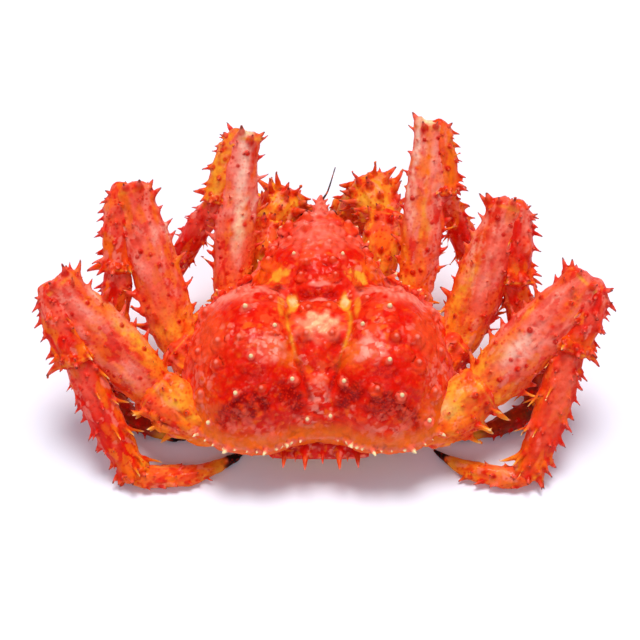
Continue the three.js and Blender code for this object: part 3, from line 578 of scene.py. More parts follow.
class Segment:
    """One segment of a limb. Its own axes are across, +y from its start to its end, and out of its face."""

    def __init__(self, limb, part, kind, start, end, side, girth, seed):
        self.name = f"{limb}_{part}"
        self.limb, self.kind, self.side, self.girth, self.seed = limb, kind, side, girth, seed
        self.form = FORMS[kind]
        self.spotted = SPOTTED[limb.split("_")[0]]
        self.start = np.array(start, float)
        way = np.array(end, float) - self.start
        self.length = np.linalg.norm(way)
        along = way / self.length
        broad = TOP_FACE if kind == "dactyl" else BROAD_FACE
        face = unit(broad - along * (broad @ along))
        self.axes = np.array([np.cross(along, face), along, face])

    def to_body(self, points):
        return self.start + points @ self.axes

    def to_own(self, points):
        return (points - self.start) @ self.axes.T

    def half_width(self, share):
        start, middle, end = self.form["radii"]
        peak = self.form["peak"]
        rising = math.sin(min(share / peak, 1) * math.pi / 2)
        falling = 1 - math.cos(max((share - peak) / (1 - peak), 0) * math.pi / 2)
        wide = start + (middle - start) * rising if share < peak else middle + (end - middle) * falling
        return wide * self.girth

    def bow(self, share):
        inside = np.clip(share, 0, 1)
        return self.form["bend"] * self.form["fold"] * 4 * inside * (1 - inside)

    def section(self, angle, share):
        """How far the skin stands out at an angle, over the half width: keeled edges and hollow faces."""
        keel = self.form["keel"] * np.abs(np.cos(angle)) ** 6
        hollow = 0.04 * np.exp(-((np.sin(angle * 2) / 0.5) ** 2)) * np.abs(np.sin(angle))
        uneven = 0.02 * np.sin(3 * angle + self.seed) + 0.015 * np.sin(5 * angle + 9 * share + self.seed)
        return 1 + keel - hollow + uneven

    def on_skin(self, share, angle):
        """A point of the skin in the segment's own axes, and the way straight out of it there."""
        radius = self.half_width(share) * self.section(angle, share)
        hand = self.side * self.form["fold"]
        out = np.array([hand * math.cos(angle), 0, math.sin(angle) * self.form["flat"]])
        foot = out * radius + np.array([self.bow(share) * self.side, share * self.length, 0])
        return foot, np.array([out[0], 0, out[2] / self.form["flat"] ** 2])

    def profile(self):
        """Rows along the segment: y, and the half width there before keels and hollows."""
        start, _, end = (radius * self.girth for radius in self.form["radii"])
        rows = [(y * start, width * start) for y, width in START_CAP]
        for share in np.linspace(0.03, 1, SEGMENT_ROWS):
            flare = self.form["rim"] * bell(share, RIM["at"], RIM["spread"])
            waist = WAIST["depth"] * bell(share, WAIST["at"], WAIST["spread"]) if self.form["rim"] else 0
            rows.append((share * self.length, self.half_width(share) * (1 + flare - waist)))
        if self.kind in ("carpus", "propodus"):
            cap = HOLLOW_END
        else:
            cap = [(rise * end, width) for rise, width in ROUND_END]
        return rows + [(self.length + rise, end * width) for rise, width in cap]

    def skin_shell(self):
        angles = np.linspace(0, 2 * math.pi, SEGMENT_SIDES, endpoint=False)
        hand = self.side * self.form["fold"]
        rings = []
        for y, radius in self.profile():
            share = y / self.length
            wide = radius * self.section(angles, share)
            ring = np.stack([
                hand * np.cos(angles) * wide + self.bow(share) * self.side,
                np.full(len(angles), y),
                np.sin(angles) * wide * self.form["flat"],
            ], -1)
            rings.append(ring)
        return closed_rings(self.to_body(np.array(rings)))

    def row_spines(self, row, counter, stout, tip="dark"):
        around, count, first, last, length, lean = row
        for i in range(count):
            chance = scatter(self.seed + counter * 7, i + 1) - 0.5
            share = first + (last - first) * i / max(count - 1, 1) + chance * SPINE_SCATTER["share"]
            angle = math.radians(around + chance * SPINE_SCATTER["degrees"])
            uneven = 1 + SPINE_SCATTER["length"] * (scatter(self.seed + 3, i + counter * 11) - 0.5)
            foot, out = self.on_skin(share, angle)
            out[1] = lean
            yield spine_at(
                self.to_body(foot), unit(out) @ self.axes, length * uneven * self.girth,
                stout * (0.8 + 0.4 * scatter(self.seed + 9, i + counter)),
                tip=tip, bend=self.axes[1] * (0.5 * (chance + 0.2)),
                spot=1.0 if scatter(self.seed + 13, i + counter * 5) < self.spotted else 0.3,
            )

    def spines(self):
        pale = "pale" if self.kind == "base" else "dark"
        found = []
        for counter, row in enumerate(SPINES[self.kind]):
            found += self.row_spines(row, counter, STOUT["large"], pale)
        for counter, row in enumerate(WARTS[self.kind]):
            found += self.row_spines(row, counter + 20, STOUT["wart"])
        for counter, row in enumerate(NEEDLES.get(self.kind, [])):
            found += self.row_spines(row, counter + 40, STOUT["needle"], "pale")
        if self.kind in RING_SPINES:
            count, share, length, lean = RING_SPINES[self.kind]
            if self.kind == "merus":
                length = KNEE_SPINES[self.limb.split("_")[1]]
            for i in range(count):
                row = (360 * i / count + 20, 1, share, share, length, lean)
                found += self.row_spines(row, i + 60, STOUT["ring"])
        return found


def beside_joint(before, joint, after, distance):
    """A point beside a joint, off the line of the segment before it, towards where the limb goes next."""
    before, joint, after = (np.array(p, float) for p in (before, joint, after))
    along = unit(joint - before)
    away = after - joint
    return joint + unit(away - along * (away @ along)) * distance


def leg_segments():
    for index, (name, leg) in enumerate(LEGS.items()):
        bent = beside_joint(leg["thigh"], leg["knee"], leg["wrist"], KNEE_OFFSET * leg["girth"])
        chain = [
            ("base", leg["hip"], leg["thigh"]),
            ("merus", leg["thigh"], leg["knee"]),
            ("carpus", bent, leg["wrist"]),
            ("propodus", leg["wrist"], leg["heel"]),
            ("dactyl", leg["heel"], leg["tip"]),
        ]
        for i, (kind, start, end) in enumerate(chain):
            yield Segment(name, kind, kind, start, end, leg["side"], leg["girth"], index * len(chain) + i)


def claw_segments():
    for index, (name, claw) in enumerate(CLAWS.items()):
        chain = [
            ("base", "claw_base", claw["hip"], claw["thigh"]),
            ("merus", "claw_merus", claw["thigh"], claw["elbow"]),
            ("carpus", "claw_carpus", claw["elbow"], claw["wrist"]),
            ("palm", "palm", claw["wrist"], claw["tip"]),
            ("finger", "finger", claw["knuckle"], claw["finger_tip"]),
        ]
        for i, (part, kind, start, end) in enumerate(chain):
            seed = CLAW_SEED + index * len(chain) + i
            yield Segment(name, part, kind, start, end, claw["side"], 1.0, seed)


# ---- Carapace ----


def bulge(region, x, y):
    cx, cy, wide, long, foot, top = region
    spread = ((np.abs(x) - cx) / wide) ** 2 + ((y - cy) / long) ** 2
    rise = top - foot
    dome = foot + rise * np.sqrt((1 - spread).clip(0))
    return np.where(spread < 1, dome, foot - rise * (spread - 1))


def margin_height(y):
    share = smoothstep(MARGIN["back_y"], MARGIN["front_y"], y)
    return MARGIN["back"] + (MARGIN["front"] - MARGIN["back"]) * share


def distance_to_line(x, y, line):
    """Distance in plan to a line of points on the right half, or to its mirror image on the left."""
    x = np.abs(x)
    best = np.full(x.shape, 1e9)
    for a, b in zip(line, line[1:]):
        way = b - a
        share = (((x - a[0]) * way[0] + (y - a[1]) * way[1]) / (way @ way)).clip(0, 1)
        best = np.minimum(best, np.hypot(x - a[0] - share * way[0], y - a[1] - share * way[1]))
    return best


GROOVE_LINES = [(curve_through(course, 8)[:, :2], depth, width) for course, depth, width in GROOVES]


def groove_depth(x, y):
    total = np.zeros(np.shape(x))
    for line, depth, width in GROOVE_LINES:
        total += depth * np.exp(-((distance_to_line(x, y, line) / width) ** 2))
    return total


def shell_height(x, y, share):
    margin = margin_height(y)
    heights = np.array([bulge(region, x, y) for region in REGIONS.values()])
    top = heights.max(0)
    domed = top + BLEND * np.log(np.exp((heights - top) / BLEND).sum(0))
    rim = np.sqrt((1 - share ** RIM_FULLNESS).clip(0))
    return margin + np.maximum(domed - margin, 1) * rim - groove_depth(x, y) * rim


def carapace_edge(samples):
    left = [(-x, y) for x, y in CARAPACE_OUTLINE[-2:0:-1]]
    return curve_through(CARAPACE_OUTLINE + left, samples, closed=True)


def share_at(edge, x, y):
    """The share of the way out from the hub to the edge at which a plan point lies."""
    away = np.array([x, y]) - CARAPACE_HUB
    rims = edge - CARAPACE_HUB
    facing = rims @ away / np.linalg.norm(rims, axis=1)
    return np.linalg.norm(away) / np.linalg.norm(rims[facing.argmax()])


def carapace_shell():
    edge = carapace_edge(9)
    rings = []
    for share in 1 - (1 - np.linspace(0.004, 1, CARAPACE_ROWS["top"])) ** 1.5:
        plan = CARAPACE_HUB + (edge - CARAPACE_HUB) * share
        rings.append(np.column_stack([plan, shell_height(plan[:, 0], plan[:, 1], np.full(len(plan), share))]))
    for share in np.linspace(0.995, 0.02, CARAPACE_ROWS["under"]):
        plan = CARAPACE_HUB + (edge - CARAPACE_HUB) * share
        under = margin_height(plan[:, 1]) - EDGE_THICKNESS - (1 - share) * UNDER_SLOPE
        rings.append(np.column_stack([plan, np.maximum(under, SHELL_FLOOR)]))
    return closed_rings(np.array(rings))


def tubercles(edge, side):
    for i, (x, y, length, cream) in enumerate(TUBERCLES):
        x, y = x + 2 * scatter(i, side + 2) - 1, y + 2 * scatter(i, side + 5) - 1
        share = min(share_at(edge, x, y), TUBERCLE["rim"])
        height = float(shell_height(np.array(x), np.array(y), np.array(share)))
        lean = (side * x * TUBERCLE["lean"], (y - TUBERCLE["upright_at"]) * TUBERCLE["lean"], 1)
        tip = "cream" if cream else "pink"
        stout = TUBERCLE[f"stout_{tip}"]
        yield spine_at((side * x, y, height), lean, length, stout, tip, spot=scatter(i, side + 11))


def edge_row(edge, side, row, steps):
    """Evenly spread places of one side's edge: number, place, and the plan way out to it from the hub."""
    for i in range(row["count"]):
        turn = (row["first"] + (row["last"] - row["first"]) * i / steps) / 2
        at = edge[int((turn if side > 0 else 1 - turn) * len(edge)) % len(edge)]
        yield i, np.array([*at, margin_height(at[1]) + 1]), at - CARAPACE_HUB


def edge_spines(edge, side):
    for i, foot, out in edge_row(edge, side, MARGIN_SPINES, MARGIN_SPINES["count"] - 1):
        length = MARGIN_SPINES["length"] * (1 + SPINE_SCATTER["length"] * (scatter(i, 5) - 0.5))
        way = unit(np.array([*out, MARGIN_SPINES["up"]]))
        yield spine_at(foot, way, length, STOUT["margin"], "cream", spot=0.2)
    for i, foot, out in edge_row(edge, side, DENTICLES, DENTICLES["count"]):
        length = DENTICLES["length"] + DENTICLES["extra"] * scatter(i, side + 9)
        way = unit(np.array([*out, 0]))
        yield spine_at(foot, way, length, STOUT["denticle"], "cream", spot=0)


def carapace_spines():
    edge = carapace_edge(40)
    found = []
    for side in (-1, 1):
        found += [*tubercles(edge, side), *edge_spines(edge, side)]
    return found


def rostrum():
    """The beak's shell and the spines on it."""
    root, tip = (np.array(ROSTRUM[end], float) for end in ("root", "tip"))
    radii = np.linspace(*ROSTRUM["radii"], 12)
    spines = []
    for share, side in itertools.product(ROSTRUM["spines"], (-1, 0.15, 1)):
        out = np.array([side * 1.2, 0.5, 0.9])
        foot = root + (tip - root) * share + unit(out) * radii[0] * (1 - share) * 0.8
        spines.append(spine_at(foot, out, ROSTRUM["length"], STOUT["rostrum"], "pink"))
    return tube_shell(np.linspace(root, tip, 12), radii), spines


# ---- Pigments ----


def pigment(red, green, blue):
    """Linear colour from the usual 0 to 255 scale."""
    share = np.array([red, green, blue]) / 255
    return np.where(share <= 0.04045, share / 12.92, ((share + 0.055) / 1.055) ** 2.4)


RED = pigment(226, 18, 3)
SCARLET = pigment(238, 46, 12)
CORAL = pigment(244, 74, 34)
SALMON = pigment(249, 102, 78)
ORANGE = pigment(249, 112, 18)
AMBER = pigment(252, 168, 44)
CREAM = pigment(254, 230, 170)
PINK = pigment(252, 142, 122)
PALE = pigment(255, 192, 166)
DEEP = pigment(150, 2, 1)
HORN = pigment(58, 34, 32)
BLACK = pigment(20, 13, 13)


def plain(tint, points):
    """One pigment at every point."""
    return np.tile(tint, (len(points), 1))


def mix(colour, other, amount):
    amount = np.clip(amount, 0, 1)[:, None]
    return colour * (1 - amount) + other * amount


def paint(piece, colour, gloss=None, grain=None):
    """Stores colour, gloss and the strength of the shell's grain at every point."""
    count = len(piece.data.vertices)
    layer = piece.data.color_attributes.new("pigment", "FLOAT_COLOR", "POINT")
    layer.data.foreach_set("color", np.column_stack([np.clip(colour, 0, 1), np.ones(count)]).ravel())
    for name, values in (("gloss", gloss), ("grain", grain)):
        store = piece.data.attributes.new(name, "FLOAT", "POINT")
        store.data.foreach_set("value", np.full(count, 0.5) if values is None else np.clip(values, 0, 1))


# Bands of colour up each kind of spine, later over earlier: pigment, amount, and the shares of the height at
# which the band begins and is full.
SPINE_BANDS = {
    "dark": [(RED, 0.5, 0.12, 0.5), (SALMON, 0.6, 0.4, 0.7), (HORN, 0.8, 0.78, 0.96)],
    "pale": [(ORANGE, 0.7, 0.12, 0.5), (AMBER, 0.7, 0.4, 0.8), (CREAM, 0.6, 0.75, 1)],
    "pink": [(CORAL, 0.4, 0.05, 0.35), (PINK, 0.7, 0.7, 1.0)],
    "cream": [(SALMON, 0.8, 0.05, 0.35), (CREAM, 1, 0.5, 0.75)],
}


def paint_spines(colour, points, spines):
    height, foot, kinds = spine_fields(points, spines)
    colour = mix(colour, RED, 0.95 * smoothstep(0.15, 0.5, foot) * (1 - height))
    # a darker ring at each spine's root, partly the shell's own deep red and partly painted shade where the
    # spine meets the shell
    colour = mix(colour, DEEP, 0.6 * foot ** 2 * (1 - height))
    for kind, tips in kinds.items():
        for tint, amount, first, full in SPINE_BANDS[kind]:
            colour = mix(colour, tint, amount * smoothstep(first, full, height) * tips)
    return colour, height


def broken(points, size, share, seed):
    """1 on a share of the cells of an uneven mosaic about one size wide, and 0 elsewhere."""
    bent = points + 0.28 * size * np.column_stack([waves(points, size * 1.3, seed + i) for i in range(3)])
    near, chance = grains(bent, size, seed)
    return smoothstep(0.85, 0.45, near) * smoothstep(share + 0.03, share - 0.03, chance)


def mosaic(colour, points, scales, seed=0):
    """Lays broken scales over a colour, each row of them a pigment, amount, size, share and counter."""
    for tint, amount, size, share, counter in scales:
        colour = mix(colour, tint, amount * broken(points, size, share, seed + counter))
    return colour


# Each segment's share of vivid red, and where along it and how strongly it is orange and pink: share, width,
# amount. The pink goes on upward faces, partly the shell's own colour and partly painted sheen.
TINTS = {
    "base": dict(red=0.4, orange=(0.4, 0.5, 1.3), pink=(0.8, 0.3, 0.2)),
    "merus": dict(red=0.4, orange=(0.0, 0.3, 0.9), pink=(0.68, 0.4, 1.0)),
    "carpus": dict(red=0.7, orange=(0.85, 0.15, 0.45), pink=(0.25, 0.3, 0.6)),
    "propodus": dict(red=1.2, orange=(1.0, 0.14, 0.7), pink=(0.12, 0.25, 0.45)),
    "dactyl": dict(red=0.3, orange=(0.3, 0.6, 0.9), pink=(0.3, 0.2, 0.3)),
    "claw_base": dict(red=0.3, orange=(0.5, 0.6, 1.2), pink=(0.5, 0.3, 0.1)),
    "claw_merus": dict(red=0.3, orange=(0.3, 0.6, 1.6), pink=(0.7, 0.3, 0.2)),
    "claw_carpus": dict(red=0.3, orange=(0.4, 0.8, 2.3), pink=(0.4, 0.3, 0.1)),
    "palm": dict(red=0.3, orange=(0.2, 0.5, 1.0), pink=(0.3, 0.3, 0.2)),
    "finger": dict(red=0.3, orange=(0.2, 0.5, 1.0), pink=(0.3, 0.3, 0.2)),
}
BLUSH_AND_SHEEN = {"leg_front_left": 1.4, "leg_front_right": 1.1}  # limbs whose upper faces are paler, partly pigment and partly painted sheen
SHADED = ("leg_middle_left", "leg_middle_right")  # limbs whose last segments get painted shade low down
LIMB_SCALES = [(PINK, 0.5, 4, 0.15, 32), (ORANGE, 0.7, 6, 0.25, 33)]
# Further patches on the face of single segments: pigment, amount, share of the length, place across (1 is the
# outer edge), and the two half widths. They lie on upward faces only; the pink, pale and cream ones are
# partly the shell's own paleness and partly painted highlight.
LIMB_PATCHES = {
    "leg_rear_left_merus": [
        (SALMON, 0.6, 0.75, 0.1, 0.2, 0.6),
        (PINK, 0.5, 0.66, -0.2, 0.14, 0.3),
        (AMBER, 0.8, 0.35, -0.8, 0.3, 0.25),
        (PINK, 0.5, 0.2, 0.3, 0.12, 0.4),
    ],
    "leg_rear_right_merus": [
        (SALMON, 0.8, 0.75, 0.0, 0.25, 0.8),
        (PINK, 1.0, 0.4, -0.1, 0.18, 0.55),
        (PALE, 0.8, 0.38, -0.2, 0.12, 0.35),
        (AMBER, 0.6, 0.15, -0.6, 0.2, 0.3),
    ],
    "leg_middle_left_merus": [(SALMON, 0.7, 0.6, 0.0, 0.3, 0.7), (AMBER, 0.5, 0.1, 0.0, 0.1, 0.8)],
    "leg_middle_right_merus": [
        (SALMON, 0.7, 0.7, 0.2, 0.3, 0.6),
        (AMBER, 0.7, 0.3, -0.6, 0.35, 0.3),
        (PINK, 0.7, 0.45, 0.1, 0.12, 0.3),
    ],
    "leg_front_left_merus": [
        (PINK, 0.9, 0.75, 0.0, 0.3, 0.8),
        (PALE, 0.85, 0.7, -0.15, 0.35, 0.3),
        (CREAM, 0.5, 0.45, -0.2, 0.15, 0.25),
        (CREAM, 0.7, 1.03, 0.0, 0.03, 0.4),
    ],
    "leg_front_right_merus": [
        (PINK, 0.8, 0.8, 0.4, 0.25, 0.5),
        (PALE, 0.9, 0.8, -0.6, 0.3, 0.22),
        (ORANGE, 0.8, 0.75, -0.05, 0.3, 0.2),
        (AMBER, 0.5, 0.4, 0.1, 0.2, 0.2),
        (CREAM, 1.0, 1.03, 0.0, 0.03, 0.6),
    ],
    "leg_rear_right_propodus": [(CORAL, 1.0, 0.35, 0.0, 0.5, 0.9), (SALMON, 0.7, 0.3, 0.2, 0.35, 0.5)],
    "leg_rear_right_base": [
        (AMBER, 0.8, 0.6, -0.3, 0.3, 0.4),
        (RED, 0.7, 0.75, 0.5, 0.2, 0.3),
        (CREAM, 0.5, 0.35, -0.4, 0.12, 0.25),
    ],
    "leg_rear_left_base": [
        (AMBER, 0.8, 0.6, -0.3, 0.3, 0.4),
        (RED, 0.6, 0.4, 0.4, 0.2, 0.3),
    ],
    "leg_front_left_carpus": [(AMBER, 0.9, 0.5, 0.3, 0.6, 0.9)],
    "leg_front_right_carpus": [(ORANGE, 0.9, 0.5, 0.3, 0.6, 0.9)],
}


class LimbSkin:
    """Where the points of a segment's skin lie on it, and the uneven fields that its colours follow."""

    def __init__(self, points, normals, segment):
        self.points, self.normals, self.segment = points, normals, segment
        self.tint = TINTS[segment.kind]
        self.own = segment.to_own(points)
        self.share = self.own[:, 1] / segment.length
        hand = segment.side * segment.form["fold"]
        bowed = self.own[:, 0] - segment.bow(self.share) * segment.side
        self.edge = bowed * hand / segment.half_width(0.5)
        self.broad, self.middle, self.fine = (
            waves(points, length, segment.seed + length) for length in (26, 11, 4)
        )
        self.streaks = waves(self.own * (1, 0.25, 1), 7, segment.seed + 5)
        # how much each point faces up and to the crab's back, where the painted sheen and highlights go
        self.up = smoothstep(-0.1, 0.7, normals[:, 2] - 0.3 * normals[:, 1])


def limb_ground(skin):
    """Coral to red, turning orange along the inner edge and below, and how orange it is."""
    vivid = 2 * skin.tint["red"] - 1 + 0.5 * skin.broad + 0.5 * skin.middle + 0.3 * skin.streaks
    colour = mix(plain(CORAL, skin.points), RED, 0.95 * smoothstep(-0.5, 0.5, vivid))
    at, width, amount = skin.tint["orange"]
    below = 1 - smoothstep(-0.6, 0.2, skin.normals[:, 2])
    orange = bell(skin.share, at, width) + 0.8 * smoothstep(-0.5, -0.8, skin.edge)
    orange += 0.3 * below + 0.25 * (skin.broad - 0.3) - 0.15 * skin.streaks
    orange *= amount * (0.85 + 0.45 * skin.middle)
    colour = mix(colour, ORANGE, orange)
    return mix(colour, AMBER, 0.9 * (orange - 0.75) + 0.12 * skin.fine), orange


def limb_blush_and_sheen(colour, skin):
    """Paler streaks on the upper face, partly the shell's own pink and partly painted sheen."""
    at, width, amount = skin.tint["pink"]
    pink = amount * BLUSH_AND_SHEEN.get(skin.segment.limb, 1) * bell(skin.share, at, width) * skin.up
    pink = pink * (0.7 + 0.5 * skin.streaks + 0.3 * skin.middle)
    for tint, start in ((SALMON, 0), (PINK, 0.5), (PALE, 1.0)):
        colour = mix(colour, tint, 1.2 * (pink - start))
    return colour


def limb_scales(colour, skin, orange):
    """A mosaic of red, pink and orange scales, and small red dots."""
    seed = skin.segment.seed
    cells = skin.own * LUMP_STRETCH
    colour = mix(colour, RED, (0.9 - 0.4 * orange.clip(0, 1)) * broken(cells, 5, 0.3, seed + 31))
    colour = mosaic(colour, cells, LIMB_SCALES, seed)
    near, chance = grains(skin.own, 2.4, seed + 34)
    return mix(colour, RED, 0.8 * smoothstep(0.42, 0.2, near) * (chance < 0.6))


def limb_patches(colour, skin):
    for tint, amount, at, beside, long, wide in LIMB_PATCHES.get(skin.segment.name, []):
        # patches only on upward faces; the pale and pink ones are partly painted highlight
        spread = bell(skin.share, at, long) * bell(skin.edge, beside + 0.1 * skin.middle, wide) * skin.up
        colour = mix(colour, tint, amount * spread * (0.8 + 0.3 * skin.streaks + 0.3 * skin.fine))
    return colour


def limb_marks(colour, skin, hollow):
    """Painted shade in the hollows, the pale rim at the far end, painted shade low on the hidden segments and
    the black claw tips.
    """
    segment = skin.segment
    # painted shade: the hollows darkened towards deep red
    colour = mix(colour, DEEP, 0.9 * smoothstep(0.15, 1.2, hollow))
    if segment.form["rim"]:
        colour = mix(colour, AMBER, 0.4 * bell(skin.share, 0.985, 0.012) * (1 + skin.middle))
    # painted shade: the low parts of these segments, in the shadow under the crab, darkened towards deep red
    # and horn
    if segment.limb in SHADED and segment.kind in ("propodus", "dactyl"):
        low = 1 - smoothstep(18, 45, skin.points[:, 2])
        colour = mix(colour, DEEP, (0.75 + 0.1 * skin.fine) * low)
        colour = mix(colour, HORN, (0.35 + 0.2 * skin.middle) * low)
    if segment.kind == "dactyl":
        colour = mix(colour, AMBER, 0.7 * bell(skin.share, 0.75, 0.07))
        colour = mix(colour, BLACK, smoothstep(0.79, 0.85, skin.share + 0.02 * skin.fine))
    return colour


def limb_colour(points, normals, hollow, segment):
    skin = LimbSkin(points, normals, segment)
    colour, orange = limb_ground(skin)
    colour = limb_scales(limb_blush_and_sheen(colour, skin), skin, orange)
    return limb_marks(limb_patches(colour, skin), skin, hollow)


def zone(points, x, y, wide, long):
    return np.exp(-(((np.abs(points[:, 0]) - x) / wide) ** 2) - ((points[:, 1] - y) / long) ** 2)


CARAPACE_SCALES = [
    (CORAL, 0.9, 7, 0.35, 76), (ORANGE, 0.5, 5, 0.2, 79), (PINK, 0.55, 4.5, 0.14, 77), (RED, 0.9, 4, 0.3, 78),
]
ABDOMEN_SCALES = [(ORANGE, 0.5, 3, 0.4, 312), (PINK, 0.5, 3, 0.25, 313)]
# Patches of colour on both halves of the carapace, later ones over earlier: pigment, texture, amount, and the
# place and half widths in plan.
CARAPACE_PATCHES = [
    (SALMON, "streaked", 1.1, 45, 17, 26, 14),
    (PINK, "streaked", 0.9, 46, 20, 24, 9),
    (PINK, "broken", 0.6, 62, 10, 10, 16),
    (PINK, "broken", 0.6, 52, -14, 7, 8),
    (SALMON, "even", 0.6, 0, 60, 22, 18),
    (PINK, "streaked", 0.45, 0, 66, 14, 12),
    (CORAL, "even", 0.8, 60, -10, 10, 22),
    (ORANGE, "even", 0.6, 62, -44, 12, 10),
    (ORANGE, "even", 0.6, 20, -30, 8, 10),
    (ORANGE, "even", 0.5, 30, 42, 8, 8),
    (RED, "even", 0.9, 9, 31, 6, 5),
    (RED, "even", 0.9, 20, 46, 6, 5),
    (RED, "even", 0.9, 30, 10, 7, 6),
    (RED, "even", 0.8, 44, -4, 9, 8),
    (RED, "even", 0.6, 49, 4, 8, 6),
    (SALMON, "broken", 0.7, 72, -8, 7, 14),
    (RED, "granular", 0.7, 50, -36, 16, 13),
    (RED, "granular", 1.1, 33, -43, 24, 13),
    (RED, "granular", 1.0, 14, -40, 9, 8),
    (DEEP, "granular", 0.4, 36, -38, 8, 4),
    (DEEP, "granular", 0.8, 16, -44.5, 8, 4.5),
    (DEEP, "granular", 0.9, 38, -50.5, 13, 4.5),
    (DEEP, "granular", 0.6, 50, -52, 8, 4),
    (DEEP, "even", 0.8, 24.5, 24, 4, 5),
    (DEEP, "even", 0.7, 9, -18, 4, 4),
    (RED, "granular", 0.9, 0, 20, 16, 4),
    (DEEP, "granular", 0.5, 0, 20, 14, 2.5),
    (PINK, "even", 0.8, 0, 24, 6, 1.4),
    (PINK, "even", 0.8, 0, 16, 8, 1.8),
    (PINK, "even", 0.8, 4.8, 50, 2, 2),
    # painted highlight on each branchial dome, where the overhead light is mirrored: a salmon, pink and pale
    # mosaic
    (SALMON, "even", 0.5, 28, -27, 10, 7),
    (PINK, "broken", 0.9, 28, -27, 10, 7),
    (PALE, "broken", 0.4, 28, -26, 7, 5),
    (PINK, "broken", 0.5, 66, -35, 9, 14),
    (PINK, "broken", 0.35, 30, -58, 30, 3),
    (PINK, "broken", 0.8, 0, -45, 6, 9),
    (SALMON, "even", 0.9, 0, -10, 14, 10),
    (CREAM, "even", 0.3, 0, -9, 10, 8),
    (CREAM, "broken", 0.4, 0, -9, 11, 9),
    (SALMON, "broken", 0.4, 50, -54, 20, 4),
    (AMBER, "even", 0.5, 21, 6, 2, 10),
    (AMBER, "even", 1.6, 14.4, 12, 3.4, 8),
    (CREAM, "even", 0.7, 14.4, 14, 2.4, 5),
    (AMBER, "broken", 1.0, 22.3, 33, 7, 4.5),
    (AMBER, "even", 0.8, 22.3, 33, 5, 3),
    (PINK, "even", 0.8, 0, 92, 8, 12),
]


def carapace_ground(points, broad, fine):
    """A red mosaic that turns orange towards the edge."""
    colour = mix(plain(SCARLET, points), RED, 0.4 + 0.4 * broad + 0.3 * fine)
    colour = mosaic(colour, points, CARAPACE_SCALES)
    fringe = 1 - smoothstep(34, 48, points[:, 2] + 2 * fine)
    return mix(colour, ORANGE, 0.4 * fringe * far_back(points) + 0.35 * fringe)


def far_back(points):
    return 1 - smoothstep(-52, -30, points[:, 1])


def carapace_patches(colour, points, fine):
    textures = {
        "even": 1 + 0.3 * fine,
        "streaked": 0.8 + 0.4 * waves(points * (1.0, 0.25, 0.5), 3.5, 74),
        "granular": 1.0 + 0.1 * fine - 0.5 * broken(points, 2.0, 0.35, 73),
        "broken": broken(points, 3.4, 0.55, 75),
    }
    for tint, texture, amount, at_x, at_y, wide, long in CARAPACE_PATCHES:
        spread = smoothstep(0.15, 0.75, zone(points, at_x, at_y, wide, long) * (1 + 0.3 * fine))
        colour = mix(colour, tint, amount * spread * textures[texture])
    return colour


def carapace_lines(colour, points, fine, hollow):
    """The veins beside the heart, the orange band along the back edge, a painted highlight line along the
    rim, painted shade in the hollows and painted highlight on the tops of the low lumps.
    """
    x, y, z = points.T
    veins = bell(distance_to_line(x, y, GROOVE_LINES[0][0]), 0, 1.2)
    colour = mix(colour, AMBER, 0.9 * veins * (0.7 + 0.3 * fine) * smoothstep(-34, -14, y))
    colour = mix(colour, DEEP, 0.5 * veins * smoothstep(-20, -34, y))
    above_rim = z - margin_height(y)
    colour = mix(colour, ORANGE, 0.55 * bell(above_rim, 6, 4) * far_back(points) * (0.9 + 0.4 * fine))
    # painted highlight: a pink line just above the edge
    colour = mix(colour, PINK, 0.4 * bell(above_rim, 1.6, 1.0))
    # painted shade: the hollows darkened towards deep red
    colour = mix(colour, DEEP, 0.35 * smoothstep(0.2, 1.0, hollow) * (1 - veins))
    # painted highlight: the tops of the low lumps lightened towards coral
    return mix(colour, CORAL, 0.35 * smoothstep(0.08, 0.6, -hollow))


def carapace_colour(points, hollow):
    broad, fine = waves(points, 30, 71), waves(points, 6, 72)
    colour = carapace_ground(points, broad, fine)
    # painted shade: the hollows darkened towards deep red
    colour = mix(colour, DEEP, 0.9 * smoothstep(0.1, 0.9, hollow))
    colour = carapace_patches(colour, points, fine)
    return carapace_lines(colour, points, fine, hollow)


# ---- Materials ----


def connect(tree, target, inputs):
    """Sets each named input of a node to a number or a colour, or links another node's output to it."""
    for key, value in inputs.items():
        if isinstance(value, bpy.types.NodeSocket):
            tree.links.new(value, target.inputs[key])
        else:
            target.inputs[key].default_value = value
    return target


def node(tree, kind, inputs, **settings):
    made = tree.nodes.new("ShaderNode" + kind)
    for name, value in settings.items():
        setattr(made, name, value)
    return connect(tree, made, inputs)


def ramp(tree, value, low, high, top=1.0):
    """A value from 0 to top, spread from low to high."""
    inputs = {"Value": value, "From Max": top, "To Min": low, "To Max": high}
    return node(tree, "MapRange", inputs).outputs["Result"]


def combine(tree, operation, first, second):
    return node(tree, "Math", {0: first, 1: second}, operation=operation).outputs["Value"]


def noise(tree, place, scale, detail):
    inputs = {"Vector": place, "Scale": scale, "Detail": detail, "Roughness": 0.6}
    return node(tree, "TexNoise", inputs).outputs["Fac"]


def attribute(tree, label, output="Fac"):
    return node(tree, "Attribute", {}, attribute_name=label).outputs[output]


